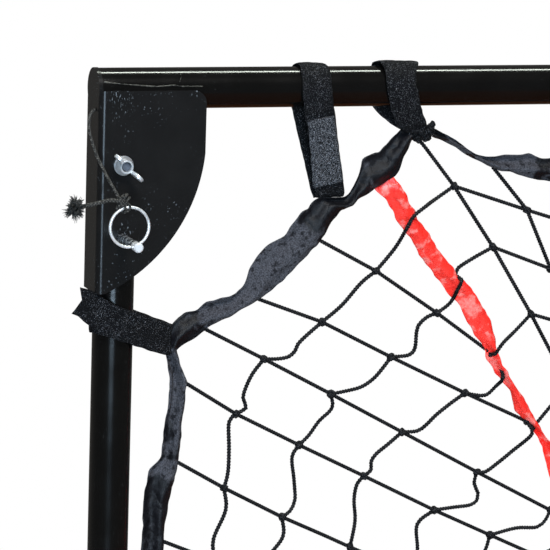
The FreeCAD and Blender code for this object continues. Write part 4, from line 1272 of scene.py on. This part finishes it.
# %% Tethers
TETHERS = {}
for side, way in SIDES.items():
    centre, up = RING_PLACES[side]
    ring_top = centre + up * RING_RADIUS
    top = centre + up * (RING_RADIUS + WIRE / 2 + TETHER_DIA / 2 + KNOT_GAP)
    route = [Vector((-way * (SPINE_X - x * MM), y * MM, BAR_Z + z * MM)) for x, y, z in TETHER_ROUTE]
    line = spline_points([*route, top])
    tail_line = spline_points([top + Vector((way * x * MM, y * MM, z * MM - MM)) for x, y, z in TAIL_ROUTE], 8)
    tail_way = (tail_line[-1] - tail_line[-3]).normalized()
    turns = KNOT_TURNS if way > 0 else KNOT_TURNS[:TIGHT_TURNS]
    cord = tube_piece("tether_cord_" + side, line, TETHER_DIA, 12, tether_cord)
    knot = new_piece("tether_knot_" + side, knot_mesh("knot", ring_top, turns), tether_cord)
    tail = tube_piece("tether_tail_" + side, tail_line, TAIL_DIA, 10, tether_cord)
    tuft = new_piece("tether_tuft_" + side, tuft_mesh("tuft", tail_line[-1], tail_way, 6), tether_cord)
    TETHERS[side] = (cord, line, knot, ring_top, tail, tuft)
    print("tether", side, "length", round(running(line)[-1], 4))

# %% [markdown]
# Small hardware is remade with the roundness that it has up close: a smooth wire ring, a threaded
# bolt with a domed head, and a wing nut with two rounded ears. Weld beads join the bracket to the bar.

# %% Rings
RING_STEPS = 72


def ring_piece(side):
    centre, up = RING_PLACES[side]
    loop = [centre + Matrix.Rotation(math.tau * k / RING_STEPS, 3, "Y") @ up * RING_RADIUS
            for k in range(RING_STEPS + 1)]
    return tube_piece("pull_ring_wire_" + side, loop, WIRE, 12, ring_chrome)


RINGS = {side: ring_piece(side) for side in SIDES}
print("rings", len(RINGS))

# %% Pivot bolt and wing nut
TURNED = 40                  # vertices round a turned body
SHARP = math.radians(32)     # an edge that turns by more than this stays sharp
BOLT_R = 0.003
HEAD_R, HEAD_HEIGHT = 0.007, 0.0034
THREAD_DEPTH = 0.0003
THREAD_STEP = 0.001
NUT_SEAT = -PLATE_FACE - 0.0014
HUB_HEIGHT = 0.0065
BLADE_HALF = 0.0011          # half the thickness of a blade
WING_TURN = math.radians(43)
BOLT_SUNK = 0.0018           # the bolt ends inside the hub, as the photograph shows


def turned_rings(built, profile):
    """Rings of vertices round Y from (radius, y) pairs in metres, or a single vertex on the axis."""
    return [[built.verts.new((radius * c, y, radius * s)) for c, s in circle(TURNED, None if radius else 1)]
            for radius, y in profile]


def smooth_by_angle(mesh):
    built = bmesh_of(mesh)
    for edge in built.edges:
        if len(edge.link_faces) == 2 and edge.calc_face_angle() > SHARP:
            edge.smooth = False
    filled(mesh, built, smooth=True)


def bolt_mesh(name):
    """Domed head behind the plate, plain shank, and a thread where the nut sits."""
    back, tip = PLATE_FACE + 0.0001, NUT_SEAT - HUB_HEIGHT + BOLT_SUNK
    profile = [(0.0, back + HEAD_HEIGHT)]
    profile += [(HEAD_R * math.sin(a), back + HEAD_HEIGHT * math.cos(a) ** 1.3) for a in
                [math.pi / 2 * k / 9 for k in range(1, 9)]]
    profile += [(HEAD_R, back + 0.0002), (0.0068, back), (BOLT_R, back), (BOLT_R, NUT_SEAT + 0.001)]
    y = NUT_SEAT
    while y > tip + THREAD_STEP:
        profile += [(BOLT_R - THREAD_DEPTH, y), (BOLT_R, y - THREAD_STEP / 2)]
        y -= THREAD_STEP
    profile += [(BOLT_R - 0.0007, tip), (0.0, tip)]
    built = bmesh.new()
    bridge(built, turned_rings(built, profile))
    return filled(bpy.data.meshes.new(name), built, outward=True)


def blade_mesh(way):
    """A blade of the wing nut, with a rounded end and soft edges."""
    outline = [(3.6, -0.9), (5.2, -2.2), (7.4, -4.4), (9.6, -5.6)]
    outline += [(8.3 + 3.6 * math.cos(a), -10.2 + 3.6 * math.sin(a)) for a in
                [math.radians(55 - 17 * k) for k in range(13)]]
    outline += [(4.6, -8.2), (3.4, -5.9)]
    blade = bmesh.new()
    face = blade.faces.new([blade.verts.new((x * MM * way, y * MM, -BLADE_HALF)) for x, y in outline])
    extruded = bmesh.ops.extrude_face_region(blade, geom=[face])["geom"]
    bmesh.ops.translate(blade, vec=(0, 0, 2 * BLADE_HALF),
                        verts=[v for v in extruded if isinstance(v, bmesh.types.BMVert)])
    rim = [e for e in blade.edges if abs(e.verts[0].co.z - e.verts[1].co.z) < 1e-6]
    bmesh.ops.bevel(blade, geom=rim, offset=0.0007, segments=3, profile=0.6, affect="EDGES")
    return filled(bpy.data.meshes.new("blade"), blade)


def wing_nut_mesh(name, turn):
    """Tapered hub with a thread hole, and two blades."""
    hub = [(BOLT_R + 0.0001, 0.0), (0.0055, 0.0), (0.0058, -0.0004), (0.0056, -0.0012), (0.0045, -0.0055),
           (0.0042, -0.0062), (0.0038, -HUB_HEIGHT), (BOLT_R + 0.0004, -HUB_HEIGHT), (BOLT_R + 0.0001, -0.0061)]
    built = bmesh.new()
    rings = turned_rings(built, hub)
    bridge(built, rings + rings[:1])
    for way in (1, -1):
        built.from_mesh(blade_mesh(way))
    mesh = filled(bpy.data.meshes.new(name), built, outward=True)
    mesh.transform(Matrix.Rotation(turn, 4, "Y"))
    return mesh


BOLTS, NUTS = {}, {}
for side, way in SIDES.items():
    axis = Vector((-way * LEG_X, 0, box_middle("pivot_washer_" + side, 2)))
    for store, name, mesh, place, mat in (
            (BOLTS, "threaded_bolt_", bolt_mesh("bolt"), axis, bolt_zinc_painted_shade),
            (NUTS, "winged_nut_", wing_nut_mesh("nut", way * WING_TURN), axis + Vector((0, NUT_SEAT, 0)), zinc)):
        mesh.transform(Matrix.Translation(place))
        smooth_by_angle(mesh)
        store[side] = new_piece(name + side, mesh, mat)
print("bolts and nuts", len(BOLTS), len(NUTS))


# %% Weld beads
BEAD_STEP = 0.0005           # length between cross-sections of a bead
WELD_RADIUS, SEAM_RADIUS = 0.00055, 0.00035


def bead_mesh(name, points, radius, seed):
    """A weld bead: overlapping ripples along a line, uneven in height."""
    line = curved(points, BEAD_STEP)
    mesh = tube_mesh(name, line, radius, 8, 0.3)
    for vertex in mesh.vertices:
        spot = vertex.co * 900
        middle = min(line, key=lambda p: (p - vertex.co).length_squared)
        swell = 0.72 + 0.5 * noise.noise(spot + Vector((seed, 0, 0))) + 0.28 * noise.noise(spot * 0.25)
        vertex.co = middle + (vertex.co - middle) * max(0.35, swell)
    mesh.update()
    return mesh


def on_bar(px, py, way):
    """Place on the bar's face that the photograph shows at this pixel, or its mirror image."""
    height = min(TUBE_R, at_depth(px, py, -TUBE_R).z - BAR_Z)
    place = at_depth(px, py, -math.sqrt(TUBE_R ** 2 - height ** 2))
    place.x *= way
    return place


WELD_SEEN = [(104, 82), (112, 83), (125, 84.5), (138, 85.3), (156, 86.5), (172, 85.5), (184, 86.5), (203, 86.2)]
SEAM_SEEN = [(179, 69), (180.5, 73), (181, 77), (179.5, 82)]
WELDS = {}
for side, way in SIDES.items():
    beads = [bead_mesh("bead", [on_bar(px, py, way) for px, py in pixels], radius, 3.0 - way)
             for pixels, radius in ((WELD_SEEN, WELD_RADIUS), (SEAM_SEEN, SEAM_RADIUS))]
    name = "weld_bead_" + side
    WELDS[side] = new_piece(name, merged(name, beads), weld_paint)
print("welds", len(WELDS), "net faces", [len(net.data.polygons) for net in NETS.values()])

# %% [markdown]
# The pieces are attached to their bodies, and the CAD nodes that they stand for are hidden. The net,
# the ribbons and the lower and side borders are given meshes of their own.


def settle(piece, body, slot, *nodes):
    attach(piece, body)
    if nodes:
        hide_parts(*nodes)


def folding(piece):
    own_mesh(piece)


for side in SIDES:
    settle(NETS[side], "root", "net_cord", "net_" + side, "net_corner_top_" + side, "net_corner_bottom_" + side,
           "net_top", "net_back", "net_bottom")
    folding(NETS[side])
    for part, node in (("top", "border_top"), ("side", "border_" + side), ("low", "border_bottom")):
        settle(BORDERS[part, side], "root", "border_tape", node)
        if part != "top":
            folding(BORDERS[part, side])
for name, side in (("a_upper", "left"), ("a_lower", "right"), ("b_upper", "right"), ("b_lower", "left")):
    settle(RIBBONS[name], "root", "ribbon_red", "target_ribbon_" + name[0])
    folding(RIBBONS[name])
for node, strap in STRAPS.items():
    settle(strap, "root" if node.startswith("bar") else "leg_" + node.rsplit("_", 1)[1], "hook_loop", node)
for side, (cord, line, knot, ring_top, tail, tuft) in TETHERS.items():
    pin, ring = "lock_pin_" + side, "pull_ring_" + side
    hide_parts("tether_" + side)
    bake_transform(cord)
    settle(tail, pin, "tether_cord")
    settle(tuft, pin, "tether_cord")
    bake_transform(knot)
    settle(RINGS[side], ring, "ring_chrome", ring)
    settle(WELDS[side], "root", "bracket_paint")
    settle(BOLTS[side], "root", "zinc", "pivot_bolt_" + side)
    settle(NUTS[side], "wing_nut_" + side, "zinc", "wing_nut_" + side)
